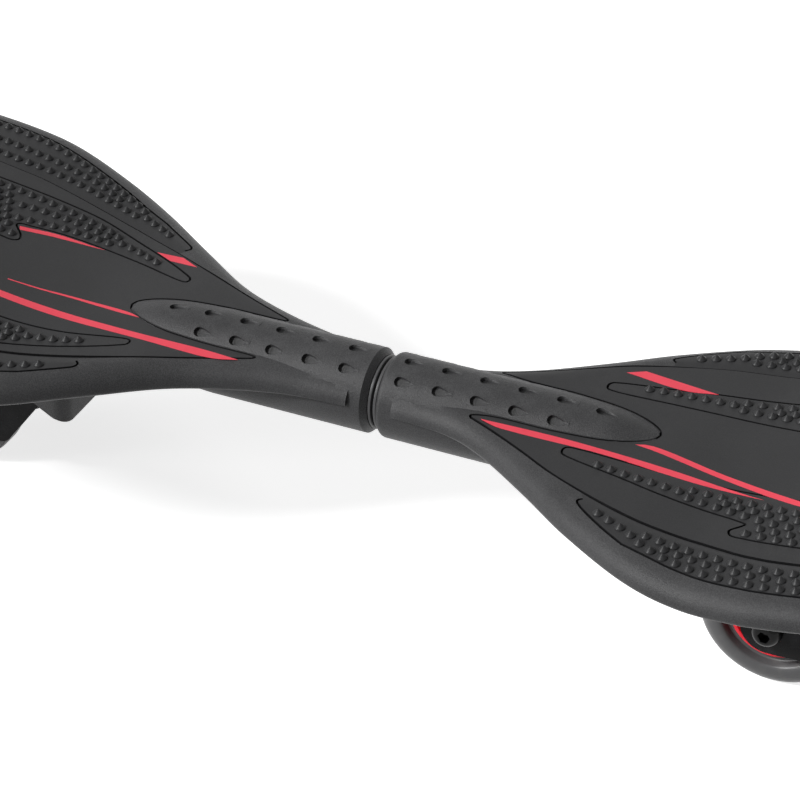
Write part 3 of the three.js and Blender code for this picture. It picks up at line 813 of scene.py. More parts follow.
class Draft:
    """Points and faces of one piece, in millimetres."""

    def __init__(self) -> None:
        """Starts empty."""
        self.points: list[Points] = []
        self.faces: Faces = []
        self.marks: list[int] = []
        self.count = 0

    def add(self, points: Points, faces: Faces, marks: Sequence[int] = ()) -> Draft:
        """Adds points and the faces between them.

        Args:
            points: the places.
            faces: numbers into those points.
            marks: a material number for each face, by default 0.

        Returns:
            The draft itself.
        """
        self.points.append(points)
        self.faces += [tuple(self.count + i for i in face) for face in faces]
        self.marks += marks or [0] * len(faces)
        self.count += len(points)
        return self

    def rings(self, rings: Sequence[Points], capped: bool = False, closed: bool = True) -> Draft:
        """Adds a skin over rings that have the same number of points.

        Args:
            rings: one array of places for each ring.
            capped: whether the two ends are closed with a flat face.
            closed: whether each ring comes back to its start.

        Returns:
            The draft itself.
        """
        count = len(rings[0])
        faces = skin_faces(len(rings), count, closed)
        if capped:
            last = (len(rings) - 1) * count
            faces += [tuple(range(count))[::-1], tuple(range(last, last + count))]
        return self.add(np.concatenate(rings), faces)

    def lathe(self, profile: Profile, sides: int, axis: Axis, place: Matrix | None = None) -> Draft:
        """Adds a solid revolved from points of (radius, place along the axis)."""
        turn = (place or Matrix()) @ axis.turn
        return self.rings([moved(circle(sides, r, z), turn) for r, z in profile])

    def prism(self, outline: Points, low: float, high: float, place: Matrix | None = None) -> Draft:
        """Adds an outline in XY, extruded from one height to another."""
        levels = [np.column_stack([outline, np.full(len(outline), z)]) for z in (low, high)]
        return self.rings([moved(level, place or Matrix()) for level in levels], capped=True)

    def box(self, low: Sequence[float], high: Sequence[float]) -> Draft:
        """Adds a box between two opposite corners.

        Args:
            low: one corner.
            high: the other.

        Returns:
            The draft itself.
        """
        xs, ys, zs = (sorted(pair) for pair in zip(low, high))
        outline = np.array([(xs[0], ys[0]), (xs[1], ys[0]), (xs[1], ys[1]), (xs[0], ys[1])])
        return self.prism(outline, *zs)

    def piece(self, name: str, place: Matrix | None = None, sharp_deg: float = 32) -> Piece:
        """Makes the mesh object, welded and with its faces turned outwards.

        Args:
            name: the object's name.
            place: where it goes, in millimetres.
            sharp_deg: the angle from which an edge is shaded sharp.

        Returns:
            The object, in metres.
        """
        whole = moved(np.concatenate(self.points), place or Matrix()) * MM
        mesh = bpy.data.meshes.new(name)
        mesh.from_pydata(whole.tolist(), [], self.faces)
        mesh.polygons.foreach_set("material_index", self.marks)
        edit = bmesh.new()
        edit.from_mesh(mesh)
        bmesh.ops.remove_doubles(edit, verts=edit.verts, dist=WELD_MM * MM)
        bmesh.ops.dissolve_degenerate(edit, edges=edit.edges, dist=WELD_MM * MM / 4)
        open_edges = [edge for edge in edit.edges if edge.is_boundary]
        if open_edges:
            bmesh.ops.holes_fill(edit, edges=open_edges, sides=0)
        bmesh.ops.recalc_face_normals(edit, faces=edit.faces)
        edit.to_mesh(mesh)
        edit.free()
        shade(mesh, sharp_deg)
        made = bpy.data.objects.new(name, mesh)
        bpy.context.scene.collection.objects.link(made)
        return made


def circle(sides: int, radius: float, height: float = 0.0) -> Points:
    """Places round a circle in XY, at a height."""
    angles = np.arange(sides) * FULL_TURN / sides
    return np.stack([radius * np.cos(angles), radius * np.sin(angles), np.full(sides, height)], 1)


def moved(points: Points, place: Matrix) -> Points:
    """Points after a placing matrix."""
    matrix = np.array(place)
    return points @ matrix[:3, :3].T + matrix[:3, 3]


def shade(mesh: bpy.types.Mesh, sharp_deg: float) -> None:
    """Shades a mesh smooth, apart from its sharp edges."""
    mesh.shade_smooth()
    mesh.set_sharp_from_angle(angle=math.radians(sharp_deg))


def settle(piece: Piece) -> None:
    """Applies the modifiers to the mesh.

    Args:
        piece: the piece that has them.
    """
    graph = bpy.context.evaluated_depsgraph_get()
    graph.update()
    made = bpy.data.meshes.new_from_object(piece.evaluated_get(graph))
    old = piece.data
    piece.modifiers.clear()
    piece.data = made
    bpy.data.meshes.remove(old)


def join(base: Piece, joining: Joining, *others: Piece) -> None:
    """Adds, cuts or trims a solid with others in turn, which are used up.

    Args:
        base: the solid that stays.
        joining: what happens.
        others: the solids it meets.
    """
    for other in others:
        step = base.modifiers.new("join", "BOOLEAN")
        step.operation = joining.value
        step.solver = "MANIFOLD"
        step.object = other
        settle(base)
        bpy.data.objects.remove(other)


def soften(piece: Piece, width: float, angle_deg: float = 35, steps: int = 2) -> None:
    """Rounds a piece's sharp edges.

    Args:
        piece: the piece.
        width: how wide the round is.
        angle_deg: the angle from which an edge is rounded.
        steps: how many steps the round has.
    """
    bevel = piece.modifiers.new("round", "BEVEL")
    bevel.width = width * MM
    bevel.segments = steps
    bevel.limit_method = "ANGLE"
    bevel.angle_limit = math.radians(angle_deg)
    bevel.harden_normals = False
    settle(piece)
    shade(piece.data, angle_deg)


class Workshop:
    """The finishes by slot, and the one way that a piece joins the frame."""

    def __init__(self) -> None:
        """Reads the frame's slots, bodies and joints."""
        record = frame["record"]
        bodies = record["behaviour"]["bodies"]
        self.slot_of = {row["node"]: row["material_slot"] for row in record["subparts"]}
        self.body_of = {node: body for body, nodes in bodies.items() for node in nodes}
        self.joints = {joint["name"]: joint for joint in frame["joints"]}
        self.finishes = {key: finish.material() for key, finish in FINISHES.items()}
        self.replaced: set[str] = set()
        self.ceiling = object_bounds()[1][2] / MM

    def place_of(self, joint: str) -> Vector:
        """A joint's place, in millimetres."""
        return Vector(self.joints[joint]["pos_m"]) / MM

    def mount(self, piece: Piece, node: str, body_node: str = "", slot: str = "") -> None:
        """Lets a piece ride on the frame in a node's place, or beside it.

        Args:
            piece: the new piece.
            node: the CAD node it stands for, or "" where it stands for none.
            body_node: a node of the body it rides on, where it stands for none.
            slot: its material slot, where it stands for none.
        """
        carrier = node or body_node
        finish = slot or self.slot_of[carrier]
        if not any(piece.data.materials):
            piece.data.materials.clear()
            piece.data.materials.append(self.finishes[finish])
        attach(piece, self.body_of[carrier])
        if node:
            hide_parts(node)
            self.replaced.add(node)
        LOG.info("%s rides on %s", piece.name, self.body_of[carrier])

    def dress_rest(self) -> None:
        """Gives every CAD node that stays its finish."""
        for name, node in frame["nodes"].items():
            if name in self.replaced:
                continue
            node.data.materials.clear()
            node.data.materials.append(self.finishes[self.slot_of[name]])
            shade(node.data, sharp_deg=32)
            LOG.info("%s keeps its own shape", name)


# Decks


@dataclass(frozen=True)
class Shell:
    """The moulded shell that both decks share."""

    top: float = 14.3
    wall: float = 4.0
    rim_reach: float = 13.0
    rim_roll: float = 10.0
    rim_skirt: float = 3.0
    rim_tuck: float = 3.0
    roll_deg: tuple = (0, 6, 13, 21, 30, 40, 51, 63, 76, 90)
    tuck_rows: int = 6
    flare_steps: int = 9
    nose_steps: int = 48
    grid_pitch: float = 6.5
    grid_clearance: float = 1.0
    cavity_from: float = 74.0
    cavity_drop: float = 3.0
    cavity_lip: float = 0.2
    cavity_shoulder: tuple = (0.6, 3.0)
    rib: float = 2.6
    rib_pitch: float = 60.0
    rib_recess: float = 1.2
    rib_wall_share: float = 0.5
    rib_from: float = 130.0


@dataclass(frozen=True)
class Wing:
    """The rim's tail along the neck."""

    start: float = 11.6
    mid: float = 40.0
    proud_at_end: float = 1.3
    proud_at_mid: float = 3.9
    drop_at_end: float = 1.4
    skirt_share_at_end: float = 0.1
    blend_run: float = 50.0


@dataclass(frozen=True)
class NeckSizes:
    """The round neck, its raised leaf on the deck and what it holds."""

    radius: float = 21.0
    end_radius: float = 18.2
    start: float = 2.35
    chamfer: float = 2.9
    chamfer_rows: int = 6
    leaf: tuple = (
        (88, 15.38), (100, 14.5), (113, 12.9), (123.5, 10.0), (131, 6.4), (135.2, 2.9), (136.4, 0)
    )
    leaf_straight: tuple = (40.0, 64.0)
    leaf_clearance: float = 1.2
    skin_pitch: float = 4.5
    skin_margin: tuple = (3.0, 2.0)
    sides: int = 44
    tube_bore: float = 14.3
    tube_end: float = 124.0
    bush_bore: float = 17.3
    bush_end: float = 24.35
    anchor_at: float = 111.7
    bar_radius: float = 3.25
    bar_square: float = 3.75
    bar_sides: int = 32
    bar_rows: int = 49
    bar_end: float = 120.0
    bar_holds_from: float = 103.0
    bar_shoulder: float = 1.0
    boss_radius: float = 8.5
    boss_drop: float = 23.0
    boss_edge: float = 0.8
    screw_hole: float = 2.8
    hole_drop: float = 30.0
    dimple_pitch: float = 19.33
    dimples: int = 6
    row_deg: float = 35.6


@dataclass(frozen=True)
class Groove:
    """A moulded line round a field of the deck, and the sunk ledge beside the panel."""

    half_width: float = 0.56
    floor: float = 0.28
    depth: float = 1.55
    steps: int = 8
    tip_run: tuple = (1.2, 1.6)
    ledge_depth: float = 0.6
    ledge_from: float = 105.0
    ledge_fade: float = 35.0
    rim_share: float = 0.5


@dataclass(frozen=True)
class Dimple:
    """A thumb-shaped hollow, steep at its rear end."""

    length: float = 10.6
    width: float = 5.2
    depth: float = 1.9
    wall: float = 0.4
    taper: float = 1.6
    fall: float = 0.8
    room: tuple = (0.62, 0.66)

    def loops(self) -> list[Points]:
        """The hollow's edge and the foot of its wall, as closed lines round its middle.

        Returns:
            The two lines.
        """
        half_width = self.width / 2
        round_at = half_width - self.length / 2
        angles = np.linspace(math.pi / 2, 3 * math.pi / 2, 11)
        back = np.stack([round_at + half_width * np.cos(angles), half_width * np.sin(angles)], 1)
        shares = np.linspace(0, 1, 9)[1:]
        reach = self.length / 2 - round_at
        lower = np.stack([round_at + reach * shares, -half_width * (1 - shares**self.taper)], 1)
        outline = np.concatenate([back, lower, lower[::-1][1:] * (1, -1)])
        foot = (outline - (round_at, 0)) * (1 - self.wall / half_width) + (round_at, 0)
        return [outline, foot]

    def sunk(self, places: Points) -> Points:
        """How deep the hollow is.

        Args:
            places: where, from its middle.

        Returns:
            A depth for each place.
        """
        outline = self.loops()[0]
        near = np.abs(places).max(1) < self.length
        spots = places[near]
        gap = gap_to_loop(spots, outline) * inside(spots, outline)
        fall = np.clip(0.5 - spots[:, 0] / self.length, 0, 1) ** self.fall
        depth = np.zeros(len(places))
        depth[near] = self.depth * fall * np.clip(gap / self.wall, 0, 1)
        return depth


@dataclass(frozen=True)
class Stud:
    """One cone of the grip. Its flank is a list of shares of its radius and height."""

    radius: float = 2.5
    height: float = 2.6
    sides: int = 18
    room: float = 2.6
    clearance: float = 0.1
    flank: tuple = (
        (0.98, -0.1), (1.0, 0.05), (0.96, 0.15), (0.84, 0.28), (0.62, 0.47),
        (0.38, 0.69), (0.16, 0.89), (0.05, 0.97), (0.0, 1.0),
    )


@dataclass(frozen=True)
class Row:
    """A row of studs through given places. It may go on beside the deck's edge to the tip."""

    pitch: float
    points: tuple
    inset: float = 0.0
    joins_at: float = 0.0


@dataclass(frozen=True)
class Stripe:
    """A printed stripe between two edges, each a list of (along, across)."""

    first: tuple
    second: tuple
    film: float = 0.05
    sunk: float = 0.12
    steps: int = 8
    station_pitch: float = 4.0

    def edges(self) -> list[Points]:
        """Both edges, with as many points each.

        Returns:
            The two lines.
        """
        lines = [smooth_line(e, 1 if len(e) == 2 else self.steps) for e in (self.first, self.second)]
        count = max(self.steps, int(np.ptp(lines[0][:, 0]) / self.station_pitch))
        return [spaced(line, count=count) for line in lines]


@dataclass(frozen=True)
class DeckSizes:
    """One deck's outline and the layout of its top, on the side where across is positive."""

    half: Half
    length: float
    width: float
    widest_at: float
    kick_from: float
    kick_run: float
    kick_rise: float
    flare_shares: tuple
    panel: tuple
    panel_inset: float
    panel_joins_at: float
    ledge: float
    band_outer: tuple
    band_inset: float
    band_joins_at: float
    finger: tuple
    first_dimple: float
    rows: tuple
    field_from: float
    stripes: tuple


REAR_DECK = DeckSizes(
    half=Half.REAR,
    length=432,
    width=250,
    widest_at=285,
    kick_from=150,
    kick_run=155,
    kick_rise=15,
    flare_shares=(
        (0.235, 0.254), (0.34, 0.355), (0.456, 0.534), (0.579, 0.727), (0.702, 0.87), (0.842, 0.974),
        (1, 1),
    ),
    panel=(
        (62, 18.8), (88, 29.4), (120, 43), (140, 51.4), (156, 57.4), (170, 62.2), (194, 68.8),
        (216, 73.6), (236, 76.8),
    ),
    panel_inset=46,
    panel_joins_at=262,
    ledge=5.0,
    band_outer=((137.4, 54.7), (135.7, 56.6), (136.4, 59), (140, 61.8), (147.9, 67), (160, 75)),
    band_inset=12.5,
    band_joins_at=172,
    finger=(
        (122.3, 30.4), (122.9, 32.4), (125.6, 34.4), (137.9, 41.1), (164.1, 52.5), (188.5, 60.9),
        (212.2, 63.8), (235.7, 64.6), (270, 64.4), (305, 62), (335, 55), (353, 46), (359, 34),
        (357, 25), (348, 20.6), (300, 20), (255, 20.6), (228, 20.4), (217.5, 20.2), (214.9, 22.6),
        (216.6, 26.8), (220.6, 30.6), (222.4, 33), (221, 34.8), (216, 35.7), (211.3, 36.6),
        (196.1, 38.6), (176.4, 38.2), (154.3, 35.2), (125.4, 28.3), (123, 28.8),
    ),
    first_dimple=14.3,
    rows=(
        Row(
            6.5,
            (
                (152.2, 64.7), (158, 67.8), (164.2, 70.8), (170.1, 73.8), (174.2, 78.7), (180, 82),
                (191.6, 87.8), (203.5, 93.1),
            ),
            inset=15.9, joins_at=210,
        ),
        Row(
            6.4,
            (
                (190.5, 81.9), (196.3, 84.4), (208.5, 88.9), (220.8, 91.5), (233.7, 93.9),
            ),
            inset=28, joins_at=250,
        ),
        Row(
            6.37,
            (
                (176.2, 72.8), (188.6, 76.3), (201.1, 79.6), (213.5, 82.2), (232.2, 84.4),
            ),
            inset=38.5, joins_at=252,
        ),
        Row(
            6.3,
            (
                (145.2, 38.8), (157.9, 43.7), (170.5, 46.9), (174.7, 51.6), (181, 53.4), (192.7, 55.9),
                (204.7, 57.9), (229.4, 59.7), (270, 59.7), (305, 57), (340, 47),
            ),
        ),
        Row(
            6.25,
            (
                (178.9, 48.7), (185.3, 49.7), (197.5, 50.9), (209.7, 51), (222.7, 50.1), (230, 48.9),
            ),
        ),
        Row(6.22, ((175.2, 43.6), (187.7, 43.9), (200, 43), (212.1, 41), (226, 38))),
        Row(6.3, ((238.9, 53.4), (270, 53.8), (330, 50))),
        Row(6.3, ((235.6, 48.2), (270, 48.3), (340, 45))),
        Row(6.3, ((233.1, 42.1), (270, 42.6), (350, 40))),
        Row(6.3, ((230.2, 36.6), (270, 36.9), (356, 35))),
        Row(6.3, ((226.6, 31.4), (270, 31.2), (356, 30))),
        Row(6.3, ((220.5, 25), (270, 25.4), (350, 25.2))),
    ),
    field_from=242,
    stripes=(
        Stripe(
            (
                (67.6, -22.8), (84.9, -21.6), (122.3, -21.6), (165, -20.6), (201, -20), (250, -18),
                (300, -13),
            ),
            (
                (67.6, -22.8), (79.4, -26.5), (120.5, -25.9), (163, -25.4), (199, -24.6), (250, -21.5),
                (300, -13),
            ),
        ),
        Stripe(
            ((128.7, -9.3), (134.2, -7.4), (165.9, -6.6), (184.2, -8.3), (202.1, -9.6)),
            ((128.7, -9.3), (136, -9.3), (165.9, -8.1), (184.2, -9.3), (202.1, -10.2)),
        ),
        Stripe(
            ((220.4, 32.4), (200.4, 36.9), (173.8, 37.3)),
            ((218.8, 29.8), (200.4, 34), (173.8, 37.3)),
        ),
        Stripe(((149.7, 47.4), (139.7, 42.8)), ((135.1, 48), (124.6, 42.9))),
    ),
)
FRONT_DECK = DeckSizes(
    half=Half.FRONT,
    length=432,
    width=213,
    widest_at=213,
    kick_from=162,
    kick_run=240,
    kick_rise=30,
    flare_shares=(
        (0.291, 0.317), (0.432, 0.504), (0.563, 0.694), (0.728, 0.886), (0.869, 0.976), (1, 1),
    ),
    panel=(
        (52, 20.4), (64.2, 26), (83.5, 36.2), (102.4, 46.8), (120, 54.3), (136.5, 60.2), (152.2, 64.8),
        (174.5, 68.7),
    ),
    panel_inset=33.3,
    panel_joins_at=200,
    ledge=4.0,
    band_outer=((122.9, 59.6), (121.4, 61.4), (123.6, 64.4), (130, 69.4), (140, 76.2), (152, 83.4)),
    band_inset=10.6,
    band_joins_at=166,
    finger=(
        (100.9, 28.2), (101.8, 31), (104.6, 32.4), (135.1, 38.5), (150.7, 42), (175, 46.1), (192, 48.8),
        (195.6, 50.2), (194.2, 52.4), (190.6, 56.6), (192, 59.8), (200, 60.8), (225, 61), (262, 60.5),
        (300, 55.5), (332, 46.5), (350, 36), (354.5, 28), (350, 23.4), (335, 22), (290, 24), (240, 26),
        (196.4, 26.8), (163.4, 27), (138.8, 26.2), (104.6, 25.1), (101.8, 26),
    ),
    first_dimple=14.7,
    rows=(
        Row(
            6.9,
            (
                (133.4, 66.8), (140, 69.9), (146.3, 72.7), (152.2, 75.9), (157.4, 79.8), (163.4, 82.7),
            ),
            inset=14, joins_at=170,
        ),
        Row(6.95, ((169, 80.1), (183.3, 82.7), (197.7, 84.9), (211.5, 86)), inset=20.2, joins_at=218),
        Row(
            6.9,
            (
                (158.5, 73.9), (171.7, 75.9), (185.5, 77.7), (199.4, 79.2), (213.4, 80.5),
            ),
            inset=25.9, joins_at=220,
        ),
        Row(6.75, ((120, 33), (133.3, 34.8), (146.8, 35.8), (161.3, 37))),
        Row(6.95, ((165.7, 34.2), (186.3, 34.6), (200.4, 35.2), (216, 36.5), (240, 37.2), (345, 36))),
        Row(6.9, ((182.4, 38.2), (195.6, 39.8), (209.6, 41.2), (240, 43), (340, 41.6))),
        Row(7.0, ((165.7, 40.3), (179.5, 42.3), (193.4, 44.6), (207.5, 46.9), (240, 48.8), (330, 47))),
        Row(7.0, ((202.8, 52), (216, 53), (240, 54), (320, 52))),
        Row(7.1, ((198.1, 56.9), (219, 58.2), (240, 58), (270, 57.6))),
        Row(6.9, ((227, 31.4), (345, 30.2))),
    ),
    field_from=222,
    stripes=(
        Stripe(
            ((57.5, -21), (84, -20.2), (106.8, -20.3), (158, -23.9), (197.4, -30.2)),
            ((57.5, -21), (66, -23.9), (118.7, -24.4), (158.9, -28), (197.4, -30.2)),
        ),
        Stripe(
            ((129.7, -11.2), (136, -9.2), (175, -17.6), (214.1, -27.2), (262, -39)),
            ((129.7, -11.2), (140, -12.6), (176, -21.2), (215.1, -31), (262, -39)),
        ),
        Stripe(((105, 42), (135.1, 38.6), (150.7, 42)), ((113.2, 46.6), (139, 43.4), (150.7, 42))),
    ),
)


class Deck:
    """One moulded deck: shell, neck, panel lines, grip studs and printed stripes."""

    def __init__(self, sizes: DeckSizes, workshop: Workshop) -> None:
        """Lays out a deck.

        Args:
            sizes: its outline and layout.
            workshop: where its pieces are mounted.
        """
        self.sizes = sizes
        self.label = sizes.half.label
        self.sign = sizes.half.value
        self.workshop = workshop
        self.shell = Shell()
        self.wing = Wing()
        self.neck = NeckSizes()
        self.groove = Groove()
        self.axis_place = Matrix.Translation((0, 0, workshop.place_of("deck_twist").z))
        self.anchor_place = self.axis_place @ Matrix.Translation((self.sign * self.neck.anchor_at, 0, 0))
        self.caster_place = caster_place(sizes.half, workshop)
        self.edge = self._half_edge()

    def _half_edge(self) -> Points:
        """Half of the deck's edge, from the wing's end to the tip.

        Returns:
            The points.
        """
        sizes, wing, radius = self.sizes, self.wing, self.neck.radius
        half_width = sizes.width / 2
        flare = [(wing.start, radius + wing.proud_at_end), (wing.mid, radius + wing.proud_at_mid)]
        flare += [(a * sizes.widest_at, b * half_width) for a, b in sizes.flare_shares]
        angles = np.linspace(0, math.pi / 2, self.shell.nose_steps + 1)[1:]
        run = sizes.length - sizes.widest_at
        nose = np.stack([sizes.widest_at + run * np.sin(angles), half_width * np.cos(angles)], 1)
        nose[-1, 1] = 0
        return np.concatenate([smooth_line(flare, self.shell.flare_steps, power=0), nose])

    def inset(self, distance: float, start: float = 0.0) -> Points:
        """The half edge moved inwards, from a given place along.

        Args:
            distance: how far in.
            start: where the part that is wanted begins.

        Returns:
            The points from there to the tip.
        """
        edge = self.edge
        moved_in = edge.copy()
        along = np.zeros_like(edge)
        along[1:-1] = edge[2:] - edge[:-2]
        along[0], along[-1] = (1, 0), (0, -1)
        along /= np.linalg.norm(along, axis=1)[:, None]
        moved_in += distance * np.stack([along[:, 1], -along[:, 0]], 1)
        moved_in[:, 1] = np.maximum(moved_in[:, 1], 0)
        return moved_in[moved_in[:, 0] >= start]

    def wing_share(self, along: Points) -> Points:
        """How much a place belongs to the wing, from 1 at its end to 0."""
        return 1 - ease((along - self.wing.start) / self.wing.blend_run)

    def top(self, along: Points) -> Points:
        """The height of the standing face above the neck's axis."""
        rise = self.sizes.kick_rise * ease((along - self.sizes.kick_from) / self.sizes.kick_run)
        return self.shell.top + rise - self.wing.drop_at_end * self.wing_share(along)

    def skirt(self, along: Points) -> Points:
        """The height of the band below the roll."""
        lost = (1 - self.wing.skirt_share_at_end) * self.wing_share(along)
        return self.shell.rim_skirt * (1 - lost)

    def foot(self, along: Points) -> Points:
        """The height of the rim's lower edge."""
        return self.top(along) - self.shell.rim_roll - self.skirt(along)

    def ring(self, half: Points, height: Height) -> Points:
        """A closed ring round the deck from its half outline, at a height for each place along."""
        both = both_sides(half)
        return np.column_stack([self.sign * both[:, 0], both[:, 1], height(both[:, 0])])

    # Lines on the top

    def _panel_line(self) -> Points:
        """The panel's outer edge, from the leaf round the tip and back.

        Returns:
            The points.
        """
        sizes, groove = self.sizes, self.groove
        tip = np.array(sizes.panel[:1]) - groove.tip_run
        rest = self.inset(sizes.panel_inset, sizes.panel_joins_at)
        return both_sides(np.concatenate([tip, smooth_line(sizes.panel, groove.steps)[:-1], rest]))

    def _band_line(self) -> Points:
        """The band's outer line, with an open hook at each end.

        Returns:
            The points.
        """
        sizes = self.sizes
        rest = self.inset(sizes.band_inset, sizes.band_joins_at)
        start = smooth_line(sizes.band_outer, self.groove.steps)[:-1]
        return thinned(both_sides(np.concatenate([start, rest])))

    def _loops(self) -> dict[str, Points]:
        """The closed lines moulded into the top.

        Returns:
            The lines of the panel and both fingers, by name.
        """
        leaf = self._leaf_edge()
        leaf = leaf[leaf[:, 0] > self.sizes.panel[0][0]]
        finger = smooth_line(self.sizes.finger, self.groove.steps, closed=True)
        panel = np.concatenate([self._panel_line(), both_sides(leaf)[::-1]])
        loops = {"panel": panel, "finger_left": finger, "finger_right": mirrored(finger)}
        return {name: tidy_loop(loop) for name, loop in loops.items()}

    def _leaf_edge(self) -> Points:
        """Half of the line round the leaf, on the deck's face.

        Returns:
            The points, from the neck to the leaf's tip.
        """
        neck = self.neck
        straight = [(along, neck.leaf[0][1]) for along in neck.leaf_straight]
        edge = np.concatenate([straight, smooth_line(neck.leaf, 6)])
        aside = moved_aside(edge, neck.leaf_clearance, False)
        aside[-1] = (edge[-1, 0] + neck.leaf_clearance, 0)
        return aside

    def _top_sheet(self, draft: Draft, depths: Sequence[float]) -> None:
        """Adds the standing face with its rolled rim and its lines.

        Args:
            draft: the shell it is added to.
            depths: how far in from the edge each line of the roll is.
        """
        shell, groove, sizes = self.shell, self.groove, self.sizes
        halves = [self.inset(depth) for depth in depths]
        loops, band, panel = self._loops(), self._band_line(), self._panel_line()
        plan = Plan(self.ring(halves[0], self.top)[:, :2] * (self.sign, 1))
        known = {i: 0.0 for i in range(plan.count)}
        for depth, half in zip(depths[1:], halves[1:]):
            known.update({i: depth for i in plan.line(both_sides(half))})
        for loop in loops.values():
            for offset in (-groove.half_width, -groove.floor, groove.floor, groove.half_width):
                plan.line(moved_aside(loop, offset, True), True)
        for offset in (groove.floor, groove.half_width):
            plan.line(around(band, offset), True)
        brow = thinned(moved_aside(panel, sizes.ledge, False))
        plan.line(brow[brow[:, 0] > groove.ledge_from])
        edge_line = both_sides(self.edge)
        plan.scatter(self._loose_points(edge_line, [*loops.values(), band, brow]))
        flat, faces, numbers = plan.filled()

        def line_gap(places: Points) -> Points:
            """The distance of places to the nearest moulded line."""
            gaps = [gap_to_loop(places, loop) for loop in loops.values()]
            return np.min([gap_to_line(places, band), *gaps], axis=0)

        rim_gap = gap_to_line(flat, edge_line)
        for i, origins in enumerate(numbers):
            for origin in origins:
                rim_gap[i] = known.get(origin, rim_gap[i])
        share = np.clip(rim_gap / shell.rim_reach, 0, 1)
        wall = (line_gap(flat) - groove.floor) / (groove.half_width - groove.floor)
        slope = 1 - np.clip(gap_to_line(flat, panel) / sizes.ledge, 0, 1)
        slope *= ease((flat[:, 0] - groove.ledge_from) / groove.ledge_fade) * ~inside(flat, loops["panel"])
        sunk = np.maximum(groove.depth * (1 - np.clip(wall, 0, 1)), groove.ledge_depth * slope)
        height = self.top(flat[:, 0]) - shell.rim_roll * (1 - quarter_round(share))
        height -= sunk * (share > groove.rim_share)
        middles = np.array([flat[list(face)].mean(0) for face in faces])
        is_smooth = inside(middles, band) | inside(middles, loops["panel"])
        marks = np.where(is_smooth, DeckFace.SMOOTH.value, DeckFace.GRAINED.value)
        # painted shade: faces in the moulded grooves get the near-black line finish
        marks[line_gap(middles) < groove.half_width] = DeckFace.LINE.value
        draft.add(np.column_stack([self.sign * flat[:, 0], flat[:, 1], height]), faces, marks.tolist())

    def _loose_points(self, edge_line: Points, lines: list[Points]) -> Points:
        """A grid of points between the rim and the lines.

        Args:
            edge_line: the deck's edge.
            lines: the lines that the points keep away from.

        Returns:
            The points.
        """
        shell, half_width = self.shell, self.sizes.width / 2
        alongs = np.arange(self.wing.start + shell.grid_pitch / 2, self.sizes.length, shell.grid_pitch)
        acrosses = np.arange(-half_width, half_width, shell.grid_pitch)
        grid = np.array([(a, b) for a in alongs for b in acrosses])
        keep = inside(grid, edge_line)
        keep &= gap_to_line(grid, edge_line) > shell.rim_reach + shell.grid_clearance
        for line in lines:
            keep &= gap_to_line(grid, line) > 2 * self.groove.half_width
        return grid[keep]

    # Solids

    def _shell_solid(self) -> Piece:
        """The shell's outer form, closed below.

        Returns:
            The solid.
        """
        shell = self.shell
        depths = shell.rim_reach * (1 - np.cos(np.radians(shell.roll_deg)))
        draft = Draft()
        self._top_sheet(draft, depths.tolist())
        rings = []
        for share in np.linspace(1, 0, shell.tuck_rows):
            half = self.inset(shell.rim_tuck * (1 - quarter_round(share)))
            rings.append(self.ring(half, lambda a, s=share: self.foot(a) + s * self.skirt(a)))
        draft.rings(rings, closed=False).add(rings[-1], ladder(len(self.edge)))
        return draft.piece(self.label + "_shell", self.axis_place)

    def _hollow_solid(self, name: str, wall_share: float, recess: float) -> Piece:
        """The hollow below the deck, or the space that its ribs fill.

        Args:
            name: the solid's name.
            wall_share: how much of the wall is left outside it.
            recess: how far up from the foot it starts. Below 0 it runs out through it.

        Returns:
            The solid.
        """
        shell = self.shell
        wall = shell.wall * wall_share
        reach, drop = shell.cavity_shoulder
        low = self.inset(wall + shell.rim_tuck, shell.cavity_from)
        further = (shell.rim_tuck + reach, shell.rim_reach / 2)
        mid, high = (self.inset(wall + step)[-len(low) :] for step in further)
        levels = [
            (low, lambda a: self.foot(a) + recess),
            (low, lambda a: self.foot(a) + max(recess, 0) + shell.cavity_lip),
            (mid, lambda a: self.top(a) - wall - drop),
            (high, lambda a: self.top(a) - wall),
        ]
        rings = [self.ring(half, height) for half, height in levels]
        caps = ladder(len(low))
        draft = Draft().rings(rings).add(rings[0], caps).add(rings[-1], caps)
        return draft.piece(f"{self.label}_{name}", self.axis_place)

    def _ribs(self) -> Piece:
        """The grid of ribs below the deck, trimmed to its space.

        Returns:
            The ribs.
        """
        shell, sizes, half = self.shell, self.sizes, self.shell.rib / 2
        low, high = -shell.rim_roll - shell.rim_skirt, shell.top + sizes.kick_rise
        start, end = self.sign * shell.cavity_from, self.sign * sizes.length
        lengthwise, crosswise = Draft(), Draft()
        for i in range(int(sizes.width / 2 / shell.rib_pitch) + 1):
            for side in (-1, 1):
                y = side * (i + 0.5) * shell.rib_pitch
                lengthwise.box((start, y - half, low), (end, y + half, high))
        for x in self.sign * np.arange(shell.rib_from, sizes.length, shell.rib_pitch):
            crosswise.box((x - half, -sizes.width, low), (x + half, sizes.width, high))
        ribs, across = (
            draft.piece(self.label + name, self.axis_place)
            for draft, name in ((lengthwise, "_ribs"), (crosswise, "_cross_ribs"))
        )
        join(ribs, Joining.ADD, across)
        join(ribs, Joining.TRIM, self._hollow_solid("rib_space", shell.rib_wall_share, shell.rib_recess))
        return ribs

